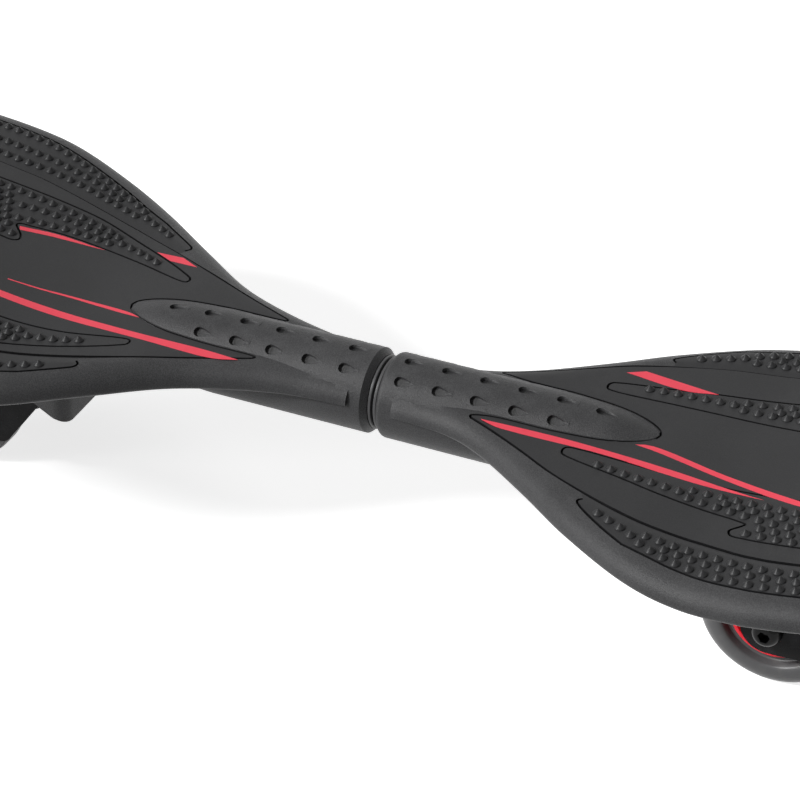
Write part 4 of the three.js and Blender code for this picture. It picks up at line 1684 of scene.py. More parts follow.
    def _neck_radius(self, along: Points) -> Points:
        """The neck's radius, with its chamfer and the leaf's slope to the deck's face.

        Args:
            along: the places along.

        Returns:
            A radius for each.
        """
        neck = self.neck
        ramp = np.clip((along - neck.start) / neck.chamfer, 0, 1)
        if self.sizes.half is Half.FRONT:
            ramp = quarter_round(ramp)
        start = neck.end_radius + (neck.radius - neck.end_radius) * ramp
        leaf = smooth_line(neck.leaf, 8)
        half_width = np.interp(along, leaf[:, 0], leaf[:, 1])
        on_deck = np.sqrt(half_width**2 + self.shell.top**2)
        return np.where(along > neck.leaf[0][0], np.minimum(on_deck, neck.radius), start)

    def _neck_solid(self) -> Piece:
        """The neck's skin with its dimples, unrolled, filled and rolled up again.

        Returns:
            The solid.
        """
        neck, dimple = self.neck, Dimple()
        half_round = math.pi * neck.radius
        chamfer_end = neck.start + neck.chamfer
        chamfer = neck.start + neck.chamfer * np.linspace(0, 1, neck.chamfer_rows)
        ends = (chamfer_end + neck.skin_margin[0], neck.leaf[0][0] - neck.skin_margin[1])
        alongs = [chamfer, np.arange(*ends, neck.skin_pitch), smooth_line(neck.leaf, 5)[:, 0]]
        xs = np.sort(self.sign * np.concatenate(alongs))
        acrosses = np.linspace(-half_round, half_round, neck.sides + 1)
        border = [(x, -half_round) for x in xs] + [(xs[-1], a) for a in acrosses[1:-1]]
        border += [(x, half_round) for x in xs[::-1]] + [(xs[0], a) for a in acrosses[::-1][1:-1]]
        plan = Plan(np.array(border))
        for x in xs[1:-1]:
            plan.line(np.array([(x, -half_round), (x, half_round)]))
        centres = self._dimple_places()
        grid = np.array([(x, a) for x in xs[1:-1] for a in acrosses[1:-1]])
        for centre in centres:
            for loop in dimple.loops():
                plan.line(centre + loop, True)
            away = (grid - centre) / (dimple.length * dimple.room[0], dimple.width * dimple.room[1])
            grid = grid[(away**2).sum(1) > 1]
        plan.scatter(grid)
        flat, faces, _ = plan.filled()
        sunk = sum(dimple.sunk(flat - centre) for centre in centres)
        radius = self._neck_radius(np.abs(flat[:, 0])) - sunk
        angle = flat[:, 1] / neck.radius
        rolled = np.column_stack([flat[:, 0], radius * np.sin(angle), radius * np.cos(angle)])
        return Draft().add(rolled, faces).piece(self.label + "_neck", self.axis_place)

    def _dimple_places(self) -> Points:
        """The middles of the neck's dimples, on its unrolled skin.

        Returns:
            One place a row.
        """
        neck = self.neck
        row = math.radians(neck.row_deg) * neck.radius
        places = []
        for i in range(neck.dimples):
            x = self.sign * (self.sizes.first_dimple + i * neck.dimple_pitch)
            places.append((x, 0.0))
            if i < neck.dimples - 1:
                places += [(x, row), (x, -row)]
        return np.array(places)

    def _pad_solid(self) -> Piece:
        """The slanted block that the caster is screwed to.

        Returns:
            The solid.
        """
        pad, middle = CasterSizes(), self.caster_place.translation
        foot = rounded_box(pad.pad_length, pad.pad_width, pad.pad_corner)
        low = moved(np.column_stack([foot, np.zeros(len(foot))]), self.caster_place)
        length = pad.pad_length * math.cos(math.radians(pad.lean_deg)) + 2 * pad.pad_flare
        head = rounded_box(length, pad.pad_width + 2 * pad.pad_flare, pad.pad_corner)
        xs = middle.x + head[:, 0]
        rise = self.top(self.sign * xs) - self.shell.wall / 2 + self.axis_place.translation.z
        high = np.column_stack([xs, head[:, 1], rise])
        draft = Draft().rings([low + (high - low) * share for share in pad.pad_levels])
        fan = [(i, (i + 1) % len(foot), len(foot)) for i in range(len(foot))]
        for level in (low, high):
            draft.add(np.vstack([level, level.mean(0)]), fan)
        return draft.piece(self.label + "_pad")

    def _cutters(self) -> list[Piece]:
        """The bores, pocket and holes of the deck.

        Returns:
            The solids to cut away.
        """
        neck, caster, place = self.neck, CasterSizes(), self.caster_place
        outwards = self.axis_place @ Matrix.Scale(self.sign, 4, (1, 0, 0))
        pocket = caster.kingpin_head / 2 + caster.pocket_gap
        over = caster.overshoot
        tools = [
            ("bush_bore", rod(neck.bush_bore, -1, neck.bush_end), 72, Axis.X, outwards),
            ("tube_bore", rod(neck.tube_bore, -1, neck.tube_end), 64, Axis.X, outwards),
            ("anchor_hole", rod(neck.screw_hole, -neck.hole_drop, 0), 32, Axis.Z, self.anchor_place),
            ("pocket", rod(pocket, -over, caster.pocket_depth), 48, Axis.Z, place),
        ]
        for i, spot in enumerate(caster.screw_spots()):
            hole, at = rod(caster.screw_hole, -over, caster.screw_length), Matrix.Translation((*spot, 0))
            tools.append((f"screw_hole_{i}", hole, 24, Axis.Z, place @ at))
        return [turned(f"{self.label}_{name}", *form) for name, *form in tools]

    def build_body(self) -> None:
        """Joins the moulded piece and mounts it."""
        neck, workshop = self.neck, self.workshop
        body = self._shell_solid()
        # the last finish is painted shade for the groove faces
        for finish in ("deck", "deck_smooth", "deck_line"):
            body.data.materials.append(workshop.finishes[finish])
        form = rod(neck.boss_radius, -neck.boss_drop, -neck.tube_bore)
        boss = rounded(form, neck.boss_edge, 3, loop=False)
        boss = turned(self.label + "_boss", boss, 48, Axis.Z, self.anchor_place)
        join(body, Joining.CUT, self._hollow_solid("hollow", 1.0, -self.shell.cavity_drop))
        join(body, Joining.ADD, self._ribs(), self._neck_solid(), boss, self._pad_solid())
        join(body, Joining.CUT, *self._cutters())
        shade(body.data, sharp_deg=30)
        body.name = self.label + "_deck_moulding"
        workshop.mount(body, self.label + "_deck")

    # Grip and print

    def _stud_places(self) -> Points:
        """The places of all grip studs, on both sides.

        Returns:
            One place a row.
        """
        sizes, stud = self.sizes, Stud()
        finger = smooth_line(sizes.finger, 6, closed=True)
        rows = []
        for row in sizes.rows:
            line = smooth_line(row.points, 6)
            if row.inset:
                line = np.concatenate([line, self.inset(row.inset, row.joins_at)])
                spots = spaced(line, row.pitch, to_end=True)
                rows += [spots, mirrored(spots)[1:]]
            else:
                spots = spaced(line, row.pitch)
                fits = inside(spots, finger) & (gap_to_loop(spots, finger) > stud.room)
                spots = spots[(spots[:, 0] < sizes.field_from) | fits]
                rows += [spots, mirrored(spots)]
        places = np.concatenate(rows)
        tips = self.top(places[:, 0]) + stud.height + stud.clearance
        return places[tips < self.workshop.ceiling - self.axis_place.translation.z]

    def build_studs(self) -> None:
        """Makes the grip studs as one piece."""
        stud, draft, places = Stud(), Draft(), self._stud_places()
        flank = [(stud.radius * r, stud.height * h) for r, h in stud.flank]
        form = Draft().lathe([(0, flank[0][1]), *flank], stud.sides, Axis.Z)
        slopes = (self.top(places[:, 0] + 1) - self.top(places[:, 0] - 1)) / 2
        for (along, across), height, slope in zip(places, self.top(places[:, 0]), slopes):
            tilt = Matrix.Rotation(-math.atan(slope) * self.sign, 4, "Y")
            place = Matrix.Translation((self.sign * along, across, height)) @ tilt
            draft.add(moved(form.points[0], place), form.faces)
        piece = draft.piece(self.label + "_grip_studs", self.axis_place, 50)
        piece.data.materials.append(self.workshop.finishes["deck_smooth"])
        self.workshop.mount(piece, "", self.label + "_deck", "deck")
        LOG.info("%s has %d studs", piece.name, len(places))

    def build_stripes(self) -> None:
        """Makes the printed stripes as one thin film."""
        draft = Draft()
        for stripe in self.sizes.stripes:
            first, second = stripe.edges()
            both = np.concatenate([first, second[::-1]])
            xs, face = self.sign * both[:, 0], self.top(both[:, 0])
            lower, upper = (
                np.column_stack([xs, both[:, 1], face + lift]) for lift in (-stripe.sunk, stripe.film)
            )
            last = len(both) - 1
            caps = [(i, i + 1, last - 1 - i, last - i) for i in range(len(first) - 1)]
            draft.rings([lower, upper]).add(upper, caps).add(lower, caps)
        piece = draft.piece(self.label + "_printed_stripes", self.axis_place)
        self.workshop.mount(piece, "", self.label + "_deck", "stripe")

    def build(self) -> None:
        """Builds everything moulded into or printed on the deck."""
        self.build_body()
        self.build_studs()
        self.build_stripes()


def ease(share: Points) -> Points:
    """A smooth step from 0 to 1."""
    t = np.clip(share, 0, 1)
    return t * t * (3 - 2 * t)


def quarter_round(share: Points) -> Points:
    """The rise of a quarter circle, from 0 to 1."""
    return np.sqrt(np.maximum(1 - (1 - share) ** 2, 0))


def both_sides(half: Points) -> Points:
    """A line that ends on the centre line, run on back along the other side."""
    return np.concatenate([half, mirrored(half)[1:]])


def tidy_loop(loop: Points, corner: float = 2.0, most: float = 0.25, passes: int = 2) -> Points:
    """A closed loop with rounded corners and only the points it needs.

    Args:
        loop: the corners. The last is joined to the first.
        corner: how far from a corner it is cut, at most.
        most: the largest share of a side that is cut off at one of its ends.
        passes: how often the corners are cut.

    Returns:
        The tidy loop.
    """
    fine = loop
    for _ in range(passes):
        ahead = np.roll(fine, -1, 0)
        sides = np.maximum(np.linalg.norm(ahead - fine, axis=1), TINY)
        cut = np.minimum(most, corner / sides)[:, None]
        fine = np.stack([fine + (ahead - fine) * cut, ahead + (fine - ahead) * cut], 1).reshape(-1, 2)
    return thinned(fine)


def ladder(half_count: int) -> Faces:
    """Faces across a ring from one side of the deck to the other.

    Args:
        half_count: how many points the ring has from its start to the tip.

    Returns:
        The faces.
    """
    tip = half_count - 1
    faces = [(i, i + 1, 2 * tip - i - 1, 2 * tip - i) for i in range(tip - 1)]
    return faces + [(tip - 1, tip, tip + 1)]


def turned(name: str, profile: Profile, sides: int, axis: Axis, place: Matrix) -> Piece:
    """One piece, revolved from its profile and put in its place."""
    return Draft().lathe(profile, sides, axis).piece(name, place)


# Casters and wheels


@dataclass(frozen=True)
class CasterSizes:
    """The swivel caster. Depths are measured down the swivel's axis from the pad."""

    lean_deg: float = 30.0
    offset: float = 30.0
    pad_length: float = 66.0
    pad_width: float = 60.0
    pad_corner: float = 8.0
    pad_flare: float = 10.0
    pad_levels: tuple = (0, 0.02, 0.2, 0.4, 0.6, 0.8, 1.0)
    pocket_gap: float = 0.3
    pocket_depth: float = 5.9
    overshoot: float = 3.0
    plate_length: float = 60.0
    plate_width: float = 54.0
    plate_thickness: float = 3.5
    plate_corner: float = 6.0
    plate_edge: float = 0.5
    screw_inset: float = 7.5
    screw_gap: float = 0.3
    screw_hole: float = 2.6
    screw_length: float = 16.0
    boss_radius: float = 8.7
    boss_edge: float = 0.4
    plate: float = 0.3
    upper_race: float = 4.1
    ball_space: float = 6.1
    lower_race: float = 8.9
    crown: float = 11.2
    crown_thickness: float = 4.0
    washer: float = 15.5
    washer_radius: float = 9.5
    washer_thickness: float = 1.4
    washer_edge: float = 0.3
    nut: float = 17.2
    nut_radius: float = 9.2
    nut_height: float = 6.0
    kingpin_end: float = 24.6
    axle: float = 57.7
    kingpin_head: float = 17.0
    kingpin_rise: float = 5.6
    kingpin_bevel: float = 1.4
    kingpin_radius: float = 5.0
    kingpin_point: tuple = (1.0, 0.6)
    kingpin_plain: float = 0.4
    hole: float = 5.3
    race_radius: float = 20.0
    race_bore: float = 9.0
    race_thickness: float = 2.0
    race_edge: float = 0.35
    race_groove: tuple = (1.9, 1.0)
    ball_circle: float = 15.5
    ball_radius: float = 2.1
    ball_count: int = 10
    ball_drop: float = 1.4
    cage: tuple = (13.0, 18.0)
    cage_half: float = 0.6
    cage_edge: float = 0.3
    arm: float = 3.5
    arm_gap: float = 28.0
    arm_edge: float = 0.7
    eye_radius: float = 13.5
    cheek_reach: float = 34.0
    cheek_radius: float = 9.0
    cheek_deg: float = 32.7
    arm_front: float = 14.0
    crown_front: float = 21.0
    crown_back: float = 27.0

    def screw_spots(self) -> list[tuple[float, float]]:
        """The places of the four plate screws.

        Returns:
            Their places on the plate.
        """
        x = self.plate_length / 2 - self.screw_inset
        y = self.plate_width / 2 - self.screw_inset
        return [(x, y), (x, -y), (-x, y), (-x, -y)]


@dataclass(frozen=True)
class WheelSizes:
    """The wheel and what holds it on its axle."""

    tyre_half: float = 12.0
    seat_radius: float = 21.3
    seat_half: float = 7.4
    dish_radius: float = 23.9
    dish_steps: tuple = ((0.0, 0.2), (0.5, 0.6))
    crest_radius: float = 27.8
    crest: tuple = ((2.4, 1.1), (1.7, 0.45), (0.9, 0.1))
    tread_half: float = 3.5
    line_deg: float = 63.0
    line_reach_deg: float = 2.0
    line_depth: float = 0.22
    parting: tuple = (0.35, 0.12)
    hub_radius: float = 21.0
    rim: float = 2.2
    rim_half: float = 10.2
    boss_radius: float = 13.6
    hub_edge: float = 0.7
    hub_half: float = 12.0
    web_half: float = 1.8
    draft: float = 0.5
    spokes: int = 6
    spoke: float = 4.2
    spoke_half: float = 7.5
    spoke_bite: float = 1.1
    spoke_edge: float = 0.8
    bearing_seat: float = 11.3
    bearing_floor: float = 4.4
    bearing_lip: float = 1.6
    bearing_radius: float = 11.0
    bearing_bore: float = 4.3
    bearing_out: float = 11.7
    bearing_width: float = 7.0
    bearing_edge: float = 0.25
    shield: tuple = ((9.3, 0), (9.1, 0.6), (8.7, 0.45), (6.5, 0.45), (6.2, 0.6), (6.0, 0))
    spacer_radius: float = 6.2
    spacer_out: float = 13.7
    spacer_edge: float = 0.3
    head_radius: float = 7.5
    head: float = 5.9
    socket_radius: float = 2.9
    socket_depth: float = 3.0
    lead_in: float = 0.35
    socket_margin: float = 0.02
    shank: float = 4.0
    axle_hole: float = 4.3
    axle_hole_half: float = 25.0
    arm_out: float = 17.8
    bolt_end: float = 25.4
    bolt_point: tuple = (1.0, 0.8)
    thread_gap: float = 0.2
    nut_radius: float = 7.5
    nut: float = 6.4
    nut_collar: tuple = (6.1, 2.4, 1.8)
    collar_edge: float = 0.5


def caster_place(half: Half, workshop: Workshop) -> Matrix:
    """The caster's own frame: X forward in the pad's face, Z up the swivel's axis."""
    at = workshop.place_of(half.label + "_swivel")
    return Matrix.Translation(at) @ Matrix.Rotation(math.radians(CasterSizes().lean_deg), 4, "Y")


@dataclass(frozen=True)
class HexNut:
    """A hexagon nut with chamfered corners and a bore."""

    radius: float
    bore: float
    chamfer: float = 0.14
    flat: float = 0.88
    outside: float = 1.01
    overshoot: float = 3.0

    def made(self, low: float, high: float, axis: Axis, place: Matrix) -> Piece:
        """Makes the nut.

        Args:
            low: where it starts along its axis.
            high: where it ends.
            axis: its axis.
            place: where it goes.

        Returns:
            The nut.
        """
        nut = Draft().prism(circle(6, self.radius)[:, :2], low, high, axis.turn).piece("nut", place)
        shares = (self.chamfer, self.flat, self.outside)
        slope, flat, outside = (self.radius * share for share in shares)
        cone = [(0, low), (flat, low), (outside, low + slope)]
        cone += [(outside, high - slope), (flat, high), (0, high)]
        join(nut, Joining.TRIM, turned("cone", cone, 72, axis, place))
        hole = rod(self.bore, low - self.overshoot, high + self.overshoot)
        join(nut, Joining.CUT, turned("bore", hole, 40, axis, place))
        shade(nut.data, sharp_deg=25)
        return nut


def threaded(radius: float, low: float, high: float, pitch: float = 1.25) -> list[tuple[float, float]]:
    """A profile with thread ridges between two places.

    Args:
        radius: the thread's outside.
        low: where it starts.
        high: where it ends.
        pitch: the thread's step.

    Returns:
        Points of (radius, place), from low to high.
    """
    root = radius - pitch * THREAD_FLANK
    rise, fall = pitch * THREAD_FLANK, pitch * (1 - THREAD_FLANK)
    points = []
    place = low
    while place + pitch <= high + WELD_MM / 2:
        points += [(root, place), (radius, place + rise), (radius, place + fall)]
        place += pitch
    return points + [(root, min(place, high))]


class Caster:
    """One slanted swivel caster, from its plate to its wheel."""

    def __init__(self, half: Half, workshop: Workshop) -> None:
        """Takes the caster's frame from its joints.

        Args:
            half: the deck it is under.
            workshop: where its pieces are mounted.
        """
        self.label = half.label
        self.workshop = workshop
        self.sizes = CasterSizes()
        self.wheel = WheelSizes()
        self.place = caster_place(half, workshop)
        spin = workshop.place_of(half.label + "_wheel_spin")
        self.axle = Matrix.Translation(spin)
        self.tyre_radius = spin.z

    def _mount(self, piece: Piece, node: str) -> None:
        """Mounts a piece in the place of one of this caster's nodes.

        Args:
            piece: the piece.
            node: the node's name without the caster's.
        """
        name = f"{self.label}_{node}"
        piece.name = name + "_form"
        self.workshop.mount(piece, name)

    def _upright(self, name: str, profile: Profile, sides: int) -> Piece:
        """A piece turned about the swivel's axis."""
        return turned(name, profile, sides, Axis.Z, self.place)

    def _crosswise(self, name: str, profile: Profile, sides: int) -> Piece:
        """A piece turned about the axle."""
        return turned(name, profile, sides, Axis.Y, self.axle)

    def _screw_places(self, height: float) -> list[Matrix]:
        """The plate screws' own frames, at a height above the pad."""
        spots = self.sizes.screw_spots()
        return [self.place @ Matrix.Translation((*spot, height)) for spot in spots]

    def build_plate(self) -> None:
        """The base plate with its boss and holes."""
        s, over = self.sizes, self.sizes.overshoot
        high, low, bottom = -s.plate, -s.plate - s.plate_thickness, -s.ball_space
        outline = rounded_box(s.plate_length, s.plate_width, s.plate_corner)
        plate = Draft().prism(outline, low, high).piece("plate", self.place)
        soften(plate, s.plate_edge, angle_deg=50)
        boss = rounded(rod(s.boss_radius, bottom, low + 1), s.boss_edge, 3, loop=False)
        join(plate, Joining.ADD, self._upright("boss", boss, sides=64))
        bore = rod(s.screw_hole, low - over, over)
        bores = [turned("bore", bore, 24, Axis.Z, at) for at in self._screw_places(0)]
        hole = self._upright("hole", rod(s.hole, bottom - over, over), sides=48)
        join(plate, Joining.CUT, hole, *bores)
        shade(plate.data, sharp_deg=30)
        self._mount(plate, "base_plate")

    def build_screws(self) -> None:
        """The four plate screws, with cross slots."""
        s = self.sizes
        screw = PanScrew(shank=2.3, head=4.3, height=2.6, length=s.screw_length)
        seat = -(s.plate + s.plate_thickness + s.screw_gap)
        for number, at in enumerate(self._screw_places(seat), 1):
            self._mount(screw.made("screw", at), f"plate_screw_{number}")

    def build_bearing_stack(self) -> None:
        """The two races and the balls between them."""
        s = self.sizes
        half_turn = np.linspace(0, math.pi, 9)
        width, depth = s.race_groove
        lower_back = s.lower_race + s.race_thickness
        for node, back, facing in (("upper_race", s.upper_race, 1), ("lower_race", lower_back, -1)):
            face = back + facing * s.race_thickness
            arc = [(width * math.cos(a), facing * depth * math.sin(a)) for a in half_turn]
            groove = [(s.ball_circle + aside, face - sunk) for aside, sunk in arc]
            loop = [(s.race_bore, back), (s.race_radius, back), (s.race_radius, face), *groove]
            loop = rounded([*loop, (s.race_bore, face)], s.race_edge)
            self._mount(self._upright(node, [(r, -d) for r, d in loop], sides=96), node)
        centre = -(s.ball_space + s.ball_drop)
        cage = sleeve(*s.cage, centre - s.cage_half, centre + s.cage_half, s.cage_edge)
        draft = Draft().lathe(cage, 80, Axis.Z)
        arc = [(math.sin(a), -math.cos(a)) for a in np.linspace(0, math.pi, 13)[1:-1]]
        ball = [(s.ball_radius * r, s.ball_radius * z) for r, z in [(0, -1), *arc, (0, 1)]]
        for x, y, _ in circle(s.ball_count, s.ball_circle):
            draft.lathe(ball, 20, Axis.Z, Matrix.Translation((x, y, centre)))
        self._mount(draft.piece("balls", self.place), "ball_ring")

    def build_kingpin(self) -> None:
        """The kingpin bolt, its washer and its nut."""
        s = self.sizes
        head, radius, end = s.kingpin_head / 2, s.kingpin_radius, -s.kingpin_end
        narrowing, point = s.kingpin_point
        profile = [(0, end), (radius - narrowing, end), *threaded(radius, end + point, -s.washer)]
        profile += [(radius, -s.washer + s.kingpin_plain), (radius, 0), (head, 0)]
        profile += [(head, s.kingpin_rise - s.kingpin_bevel), (head - s.kingpin_bevel, s.kingpin_rise)]
        self._mount(self._upright("kingpin", [*profile, (0, s.kingpin_rise)], sides=64), "kingpin")
        ring = sleeve(s.hole, s.washer_radius, -s.washer - s.washer_thickness, -s.washer, s.washer_edge)
        self._mount(self._upright("washer", ring, sides=80), "kingpin_washer")
        nut = HexNut(s.nut_radius, s.hole).made(-s.nut - s.nut_height, -s.nut, Axis.Z, self.place)
        self._mount(nut, "kingpin_nut")

    def _arm_outline(self) -> Points:
        """One arm from the side: crown, rounded front corner and the eye round the axle.

        Returns:
            The closed outline.
        """
        s = self.sizes
        slope = math.radians(s.cheek_deg)
        low = slope - math.pi / 2
        along, down = (Vector((math.cos(a), math.sin(a))) for a in (slope, low))
        eye = Vector((-s.offset, -s.axle))
        corner = eye + along * s.cheek_reach + down * (s.eye_radius - s.cheek_radius)
        front, back = Vector((s.arm_front, -s.crown)), Vector((-s.crown_back, -s.crown))

        def tangent(point: Vector, centre: Vector, radius: float, side: int) -> float:
            """The angle where a line from a point touches a circle."""
            arm = point - centre
            return math.atan2(arm.y, arm.x) + side * math.acos(radius / arm.length)

        eye_start = tangent(back, eye, s.eye_radius, 1)
        front_end = tangent(front, corner, s.cheek_radius, -1)
        points = [tuple(front), tuple(back)]
        for centre, radius, angles in (
            (eye, s.eye_radius, np.linspace(eye_start, low + FULL_TURN, 36)),
            (corner, s.cheek_radius, np.linspace(low, front_end, 14)),
        ):
            points += [(centre.x + radius * math.cos(a), centre.y + radius * math.sin(a)) for a in angles]
        return np.array(points)

    def build_fork(self) -> None:
        """The pressed fork: crown, two arms and the race's boss."""
        s, w = self.sizes, self.wheel
        outer = s.arm_gap / 2 + s.arm
        low, high = -s.crown - s.crown_thickness, -s.crown
        fork = self._upright("fork", rod(s.crown_front, low, high), sides=72)
        slab = Draft().box((-s.crown_back, -outer, low), (s.arm_front, outer, high))
        join(fork, Joining.ADD, slab.piece("slab", self.place))
        upright = Matrix.Rotation(math.pi / 2, 4, "X")
        for ends in ((-outer, -s.arm_gap / 2), (s.arm_gap / 2, outer)):
            arm = Draft().prism(self._arm_outline(), *ends, upright)
            join(fork, Joining.ADD, arm.piece("arm", self.place))
        soften(fork, s.arm_edge, angle_deg=40)
        boss = rod(s.boss_radius, high - 1, -s.lower_race)
        join(fork, Joining.ADD, self._upright("boss", boss[::-1], sides=64))
        join(fork, Joining.CUT, self._upright("bore", rod(s.hole, low - s.overshoot, 0), sides=48))
        axle_hole = rod(w.axle_hole, -w.axle_hole_half, w.axle_hole_half)
        join(fork, Joining.CUT, self._crosswise("axle_hole", axle_hole, sides=40))
        shade(fork.data, sharp_deg=35)
        self._mount(fork, "fork")

    def build_axle(self) -> None:
        """The axle bolt with its domed head, its nut and the two spacers."""
        w = self.wheel
        mouth, top = w.socket_radius + w.lead_in, -w.arm_out - w.head
        face = mouth + w.socket_margin
        dome = [
            (face + (w.head_radius - face) * math.sin(a), -w.arm_out - w.head * math.cos(a))
            for a in np.linspace(0, math.pi / 2, 14)
        ]
        profile = [(0, top), *dome, (w.shank, -w.arm_out), (w.shank, w.arm_out)]
        narrowing, point = w.bolt_point
        profile += threaded(w.shank, w.arm_out + w.thread_gap, w.bolt_end - point)
        profile += [(w.shank - narrowing, w.bolt_end), (0, w.bolt_end)]
        bolt = self._crosswise("bolt", profile, sides=72)
        levels = [(w.socket_radius, w.socket_depth), (w.socket_radius, w.lead_in)]
        levels += [(mouth, 0.0), (mouth, -1.0)]
        rings = [circle(6, radius, top + depth)[:, [0, 2, 1]] for radius, depth in levels]
        join(bolt, Joining.CUT, Draft().rings(rings, capped=True).piece("socket", self.axle))
        shade(bolt.data, sharp_deg=28)
        bolt.data.materials.clear()
        bolt.data.materials.append(self.workshop.finishes["bolt_black"])
        self._mount(bolt, "axle_bolt")

        radius, start, shoulder = w.nut_collar
        end = w.arm_out + w.nut
        nut = HexNut(w.nut_radius, w.axle_hole).made(w.arm_out, end - shoulder, Axis.Y, self.axle)
        collar = sleeve(w.axle_hole, radius, end - start, end, w.collar_edge, 3)
        join(nut, Joining.ADD, self._crosswise("collar", collar, sides=56))
        shade(nut.data, sharp_deg=25)
        self._mount(nut, "axle_nut")
        spacer = sleeve(w.bearing_bore, w.spacer_radius, w.hub_half, w.spacer_out, w.spacer_edge)
        self._mount_pair("axle_spacer", spacer, sides=56)

    def _mount_pair(self, node: str, ring: Profile, sides: int) -> None:
        """Turns a ring at each end of the axle and mounts both.

        Args:
            node: the nodes' name without the caster's and the hand.
            ring: the left one's profile.
            sides: how many sides it has.
        """
        for hand in Hand:
            name = f"{node}_{hand.name.lower()}"
            self._mount(self._crosswise(name, [(r, hand.value * y) for r, y in ring], sides), name)

    def build_wheel_bearings(self) -> None:
        """The two bearings, with their shields sunk between the rings."""
        w = self.wheel
        inner, out = w.bearing_out - w.bearing_width, w.bearing_out
        loop = [(w.bearing_bore, inner), (w.bearing_radius, inner), (w.bearing_radius, out)]
        loop += [(radius, out - sunk) for radius, sunk in w.shield]
        ring = rounded([*loop, (w.bearing_bore, out)], w.bearing_edge)
        self._mount_pair("bearing", ring, sides=80)

    def build_hub(self) -> None:
        """The spoked hub with rounded edges."""
        w = self.wheel
        rim_in = w.hub_radius - w.rim
        side = [
            (w.hub_radius, w.rim_half),
            (rim_in, w.rim_half),
            (rim_in - w.draft, w.web_half),
            (w.boss_radius + w.draft, w.web_half),
            (w.boss_radius, w.hub_half),
            (w.bearing_seat, w.hub_half),
            (w.bearing_seat, w.bearing_floor),
            (w.bearing_seat - w.bearing_lip, w.bearing_floor),
        ]
        loop = side + [(r, -y) for r, y in reversed(side)]
        hub = self._crosswise("hub", rounded(loop, w.hub_edge, steps=3), sides=96)
        low = (w.boss_radius - w.spoke_bite, -w.spoke_half, -w.spoke / 2)
        high = (rim_in + w.spoke_bite, w.spoke_half, w.spoke / 2)
        for i in range(w.spokes):
            turn = Matrix.Rotation(i * FULL_TURN / w.spokes, 4, "Y")
            spoke = Draft().box(low, high).piece("spoke", self.axle @ turn)
            soften(spoke, w.spoke_edge, angle_deg=50, steps=3)
            join(hub, Joining.ADD, spoke)
        shade(hub.data, sharp_deg=35)
        self._mount(hub, "hub")

    def build_tyre(self) -> None:
        """The cast tyre: a sunk ring round the hub, full flanks and a narrow flat tread."""
        w = self.wheel
        flank, tread = w.tyre_half - w.tread_half, self.tyre_radius - w.crest_radius
        side = [(w.seat_radius, w.seat_half)]
        side += [(w.dish_radius + r, w.seat_half + y) for r, y in w.dish_steps]
        side += [(w.crest_radius - r, w.tyre_half - y) for r, y in w.crest]
        for angle in np.linspace(0, math.pi / 2, 31):
            sunk = w.line_depth if abs(math.degrees(angle) - w.line_deg) < w.line_reach_deg else 0
            radius = w.crest_radius + tread * math.sin(angle)
            side.append((radius - sunk, w.tread_half + flank * math.cos(angle) - sunk))
        side += [(self.tyre_radius, w.parting[0]), (self.tyre_radius - w.parting[1], 0.0)]
        loop = side + [(r, -y) for r, y in reversed(side[:-1])]
        self._mount(self._crosswise("tyre", loop + loop[:1], sides=160), "tyre")

    def build(self) -> None:
        """Builds the caster from its plate to its wheel."""
        self.build_plate()
        self.build_screws()
        self.build_bearing_stack()
        self.build_kingpin()
        self.build_fork()
        self.build_axle()
        self.build_wheel_bearings()
        self.build_hub()
        self.build_tyre()


@dataclass(frozen=True)
class PanScrew:
    """A pan-head screw whose shank points up its own Z, with a cross slot."""

    shank: float
    head: float
    height: float
    length: float
    rim_share: float = 0.45
    edge: float = 0.15
    plain: float = 1.5
    pitch: float = 1.4
    point: tuple = (0.6, 1.2)
    slot_half: float = 0.13
    slot_reach: float = 0.52
    slot_depth: float = 1.15

    def made(self, name: str, place: Matrix) -> Piece:
        """Makes the screw.

        Args:
            name: its name.
            place: where the head's seat goes.

        Returns:
            The screw.
        """
        head, shank, top = self.head, self.shank, -self.height
        dome = [
            (head * math.sin(a), top * (self.rim_share + (1 - self.rim_share) * math.cos(a)))
            for a in np.linspace(0, math.pi / 2, 8)
        ]
        profile = [(0, top), *dome[1:], (head, -self.edge), (head - self.edge, 0), (shank, 0)]
        profile += [(shank, self.plain)]
        profile += threaded(shank, self.plain + 0.1, self.length - self.point[1], self.pitch)
        screw = turned(name, profile + [(self.point[0], self.length), (0, self.length)], 40, Axis.Z, place)
        arm, reach = head * self.slot_half, head * self.slot_reach
        for turn in (0.0, math.pi / 2):
            slot = Draft().box((-reach, -arm, top - 1), (reach, arm, top + self.slot_depth))
            join(screw, Joining.CUT, slot.piece("slot", place @ Matrix.Rotation(turn, 4, "Z")))
        shade(screw.data, sharp_deg=28)
        return screw


# Collar


@dataclass(frozen=True)
class CollarSizes:
    """The two flanged bushes that meet at the middle of the neck."""

    gap_half: float = 0.25
    flange: float = 1.8
    flange_radius: float = 18.1
    flange_bevel: tuple = (0.9, 0.5)
    flange_edge: float = 0.25
    outside: float = 17.0
    bore: float = 14.3
    length: float = 22.0
    screw_gap: float = 0.3


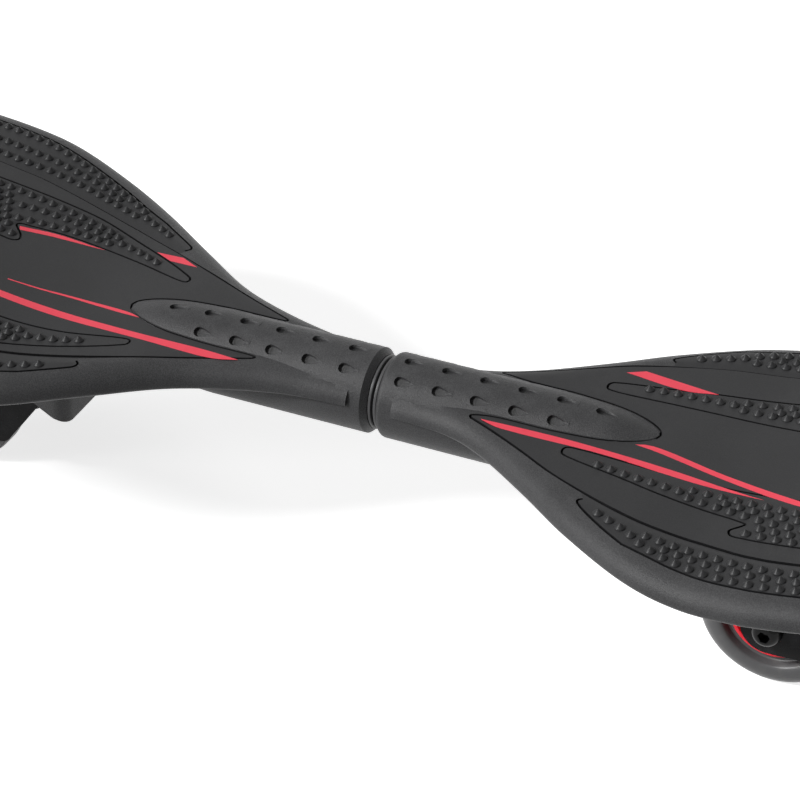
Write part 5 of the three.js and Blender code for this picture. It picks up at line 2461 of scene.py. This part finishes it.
class Collar:
    """The bushes and the screws that hold the spring's ends."""

    def __init__(self, workshop: Workshop) -> None:
        """Takes the neck's axis from the twist joint.

        Args:
            workshop: where its pieces are mounted.
        """
        self.workshop = workshop
        self.sizes = CollarSizes()
        self.neck = NeckSizes()
        self.axis_place = Matrix.Translation((0, 0, workshop.place_of("deck_twist").z))

    def build(self) -> None:
        """Builds both bushes and both anchor screws."""
        s, neck = self.sizes, self.neck
        flange_end = s.gap_half + s.flange
        slope, rise = s.flange_bevel
        loop = [
            (s.bore, s.gap_half),
            (s.flange_radius - slope, s.gap_half),
            (s.flange_radius, s.gap_half + rise),
            (s.flange_radius, flange_end),
            (s.outside, flange_end),
            (s.outside, flange_end + s.length),
            (s.bore, flange_end + s.length),
        ]
        screw = PanScrew(shank=2.5, head=5.0, height=3.2, length=18.6)
        for half in Half:
            ring = [(r, half.value * x) for r, x in rounded(loop, s.flange_edge, 3)]
            piece = turned(half.label + "_bush_form", ring, 96, Axis.X, self.axis_place)
            self.workshop.mount(piece, half.label + "_bush")
            seat = (half.value * neck.anchor_at, 0, -neck.boss_drop - s.screw_gap)
            name = half.label + "_anchor_screw"
            made = screw.made(name + "_form", self.axis_place @ Matrix.Translation(seat))
            self.workshop.mount(made, name)
        self._build_bar()

    def _build_bar(self) -> None:
        """The spring bar, which twists between its two square ends."""
        neck, height = self.neck, self.axis_place.translation.z
        holds, tip = neck.bar_holds_from, neck.bar_end
        round_form = circle(neck.bar_sides, neck.bar_radius)[:, :2]
        square_form = round_form / np.abs(round_form).max(1)[:, None] * neck.bar_square
        rings = [(-tip, square_form), (-holds - neck.bar_shoulder, square_form)]
        rings += [(x, round_form) for x in np.linspace(-holds, holds, neck.bar_rows)]
        rings += [(holds + neck.bar_shoulder, square_form), (tip, square_form)]
        skins = [np.column_stack([np.full(len(form), x), form]) for x, form in rings]
        bar = Draft().rings(skins, capped=True).piece("torsion_bar_form", self.axis_place, 30)
        bar.data.materials.append(self.workshop.finishes["spring_steel"])
        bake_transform(bar)
        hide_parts("torsion_bar")
        self.workshop.replaced.add("torsion_bar")


# Studio


@dataclass(frozen=True)
class Lamp:
    """One distant soft lamp: the way to it, how wide it looks and how strong it is."""

    name: str
    towards: tuple
    width_deg: float
    strength: float


@dataclass(frozen=True)
class StudioSizes:
    """Camera and light, chosen to match the photograph."""

    lens: float = 130.1
    sensor: float = 36.0
    clip_end: float = 50.0
    camera_at: tuple = (488.7, -1025.1, 775.1)
    right: tuple = (0.90776589, 0.41935741, -0.01002275)
    down: tuple = (0.22984989, -0.51724986, -0.82439166)
    ahead: tuple = (-0.35089902, 0.7460509, -0.56593103)
    lamps: tuple = (
        Lamp("key", (-1.3, -1.15, 1.25), 12, 3.6),
        Lamp("overhead", (-0.2, 0.7, 1.9), 30, 0.25),
        Lamp("front_left", (-2.1, -1.6, 0.5), 14, 0.85),
    )
    ambient: float = 0.08
    floor_half: float = 9.0
    floor_glow: float = 0.76
    floor_seen: tuple = (0.82, 0.82, 0.82, 1)
    floor_bounce: tuple = (0.1, 0.1, 0.1, 1)


class Studio:
    """The pale floor, the soft lamps and the camera."""

    def __init__(self, workshop: Workshop) -> None:
        """Takes the middle of the neck from the twist joint."""
        self.sizes = StudioSizes()
        self.middle = workshop.place_of("deck_twist") * MM

    @staticmethod
    def _stand(name: str, data: bpy.types.ID, place: Matrix) -> Piece:
        """Puts a camera, lamp or mesh into the scene.

        Args:
            name: the object's name.
            data: what it shows.
            place: where it goes, in metres.

        Returns:
            The object.
        """
        made = bpy.data.objects.new(name, data)
        made.matrix_world = place
        bpy.context.scene.collection.objects.link(made)
        return made

    def _camera(self) -> None:
        """Puts the camera at the photograph's viewpoint."""
        s = self.sizes
        data = bpy.data.cameras.new("photo_view")
        data.lens = s.lens
        data.sensor_width = s.sensor
        data.sensor_fit = "HORIZONTAL"
        data.clip_end = s.clip_end
        turn = Matrix((s.right, [-v for v in s.down], [-v for v in s.ahead])).transposed()
        at = Vector((0, 0, self.middle.z)) + Vector(s.camera_at) * MM
        place = Matrix.Translation(at) @ turn.to_4x4()
        bpy.context.scene.camera = self._stand("photo_view", data, place)

    def _lamps(self) -> None:
        """Sets the lamps, which light the whole board and its floor evenly."""
        for lamp in self.sizes.lamps:
            data = bpy.data.lights.new(lamp.name, "SUN")
            data.angle = math.radians(lamp.width_deg)
            data.energy = lamp.strength
            turn = Vector(lamp.towards).to_track_quat("Z", "Y")
            self._stand(lamp.name, data, turn.to_matrix().to_4x4())

    def _floor(self) -> None:
        """Lays the floor, which keeps the board's shadow and looks white around it."""
        s, half = self.sizes, self.sizes.floor_half
        mesh = bpy.data.meshes.new("floor")
        corners = [(-half, -half, 0), (half, -half, 0), (half, half, 0), (-half, half, 0)]
        mesh.from_pydata(corners, [], [(0, 1, 2, 3)])
        graph = Graph(bpy.data.materials.new("floor"))
        seen = self._seen(graph)
        glow = graph.node("ShaderNodeEmission", inputs={"Color": WHITE, "Strength": seen * s.floor_glow})
        colour = graph.blend(seen, s.floor_bounce, s.floor_seen)
        matt = graph.node("ShaderNodeBsdfDiffuse", inputs={"Color": colour})
        both = graph.node("ShaderNodeAddShader", inputs={0: graph.wire(matt), 1: graph.wire(glow)})
        graph.node("ShaderNodeOutputMaterial", inputs={"Surface": graph.wire(both)})
        mesh.materials.append(graph.owner)
        floor = self._stand("floor", mesh, Matrix())
        floor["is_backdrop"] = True

    @staticmethod
    def _seen(graph: Graph) -> Wire:
        """A mask of the rays that show a thing as it is.

        Args:
            graph: the graph it is for.

        Returns:
            1 for rays from the camera, a mirror or a glass, and 0 for the rest.
        """
        path = graph.node("ShaderNodeLightPath")
        camera, glossy, through = (graph.wire(path, f"Is {kind} Ray") for kind in SEEN_RAYS)
        return camera.maths("MAXIMUM", camera, camera.maths("MAXIMUM", glossy, through))

    def _world(self) -> None:
        """Lights the board evenly and shows white behind it."""
        world = bpy.data.worlds.new("studio")
        bpy.context.scene.world = world
        graph = Graph(world)
        ambient = self.sizes.ambient
        strength = ambient + self._seen(graph) * (1 - ambient)
        back = graph.node("ShaderNodeBackground", inputs={"Color": WHITE, "Strength": strength})
        graph.node("ShaderNodeOutputWorld", inputs={"Surface": graph.wire(back)})

    def build(self) -> None:
        """Sets up the studio."""
        self._camera()
        self._lamps()
        self._floor()
        self._world()
        bpy.context.scene.view_settings.view_transform = "Standard"


def main() -> None:
    """Builds the board's looks."""
    logging.basicConfig(level=logging.INFO, format="%(name)s: %(message)s")
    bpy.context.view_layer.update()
    workshop = Workshop()
    Studio(workshop).build()
    for sizes in (REAR_DECK, FRONT_DECK):
        Deck(sizes, workshop).build()
    Collar(workshop).build()
    for half in Half:
        Caster(half, workshop).build()
    workshop.dress_rest()


if __name__ == "__main__":
    main()
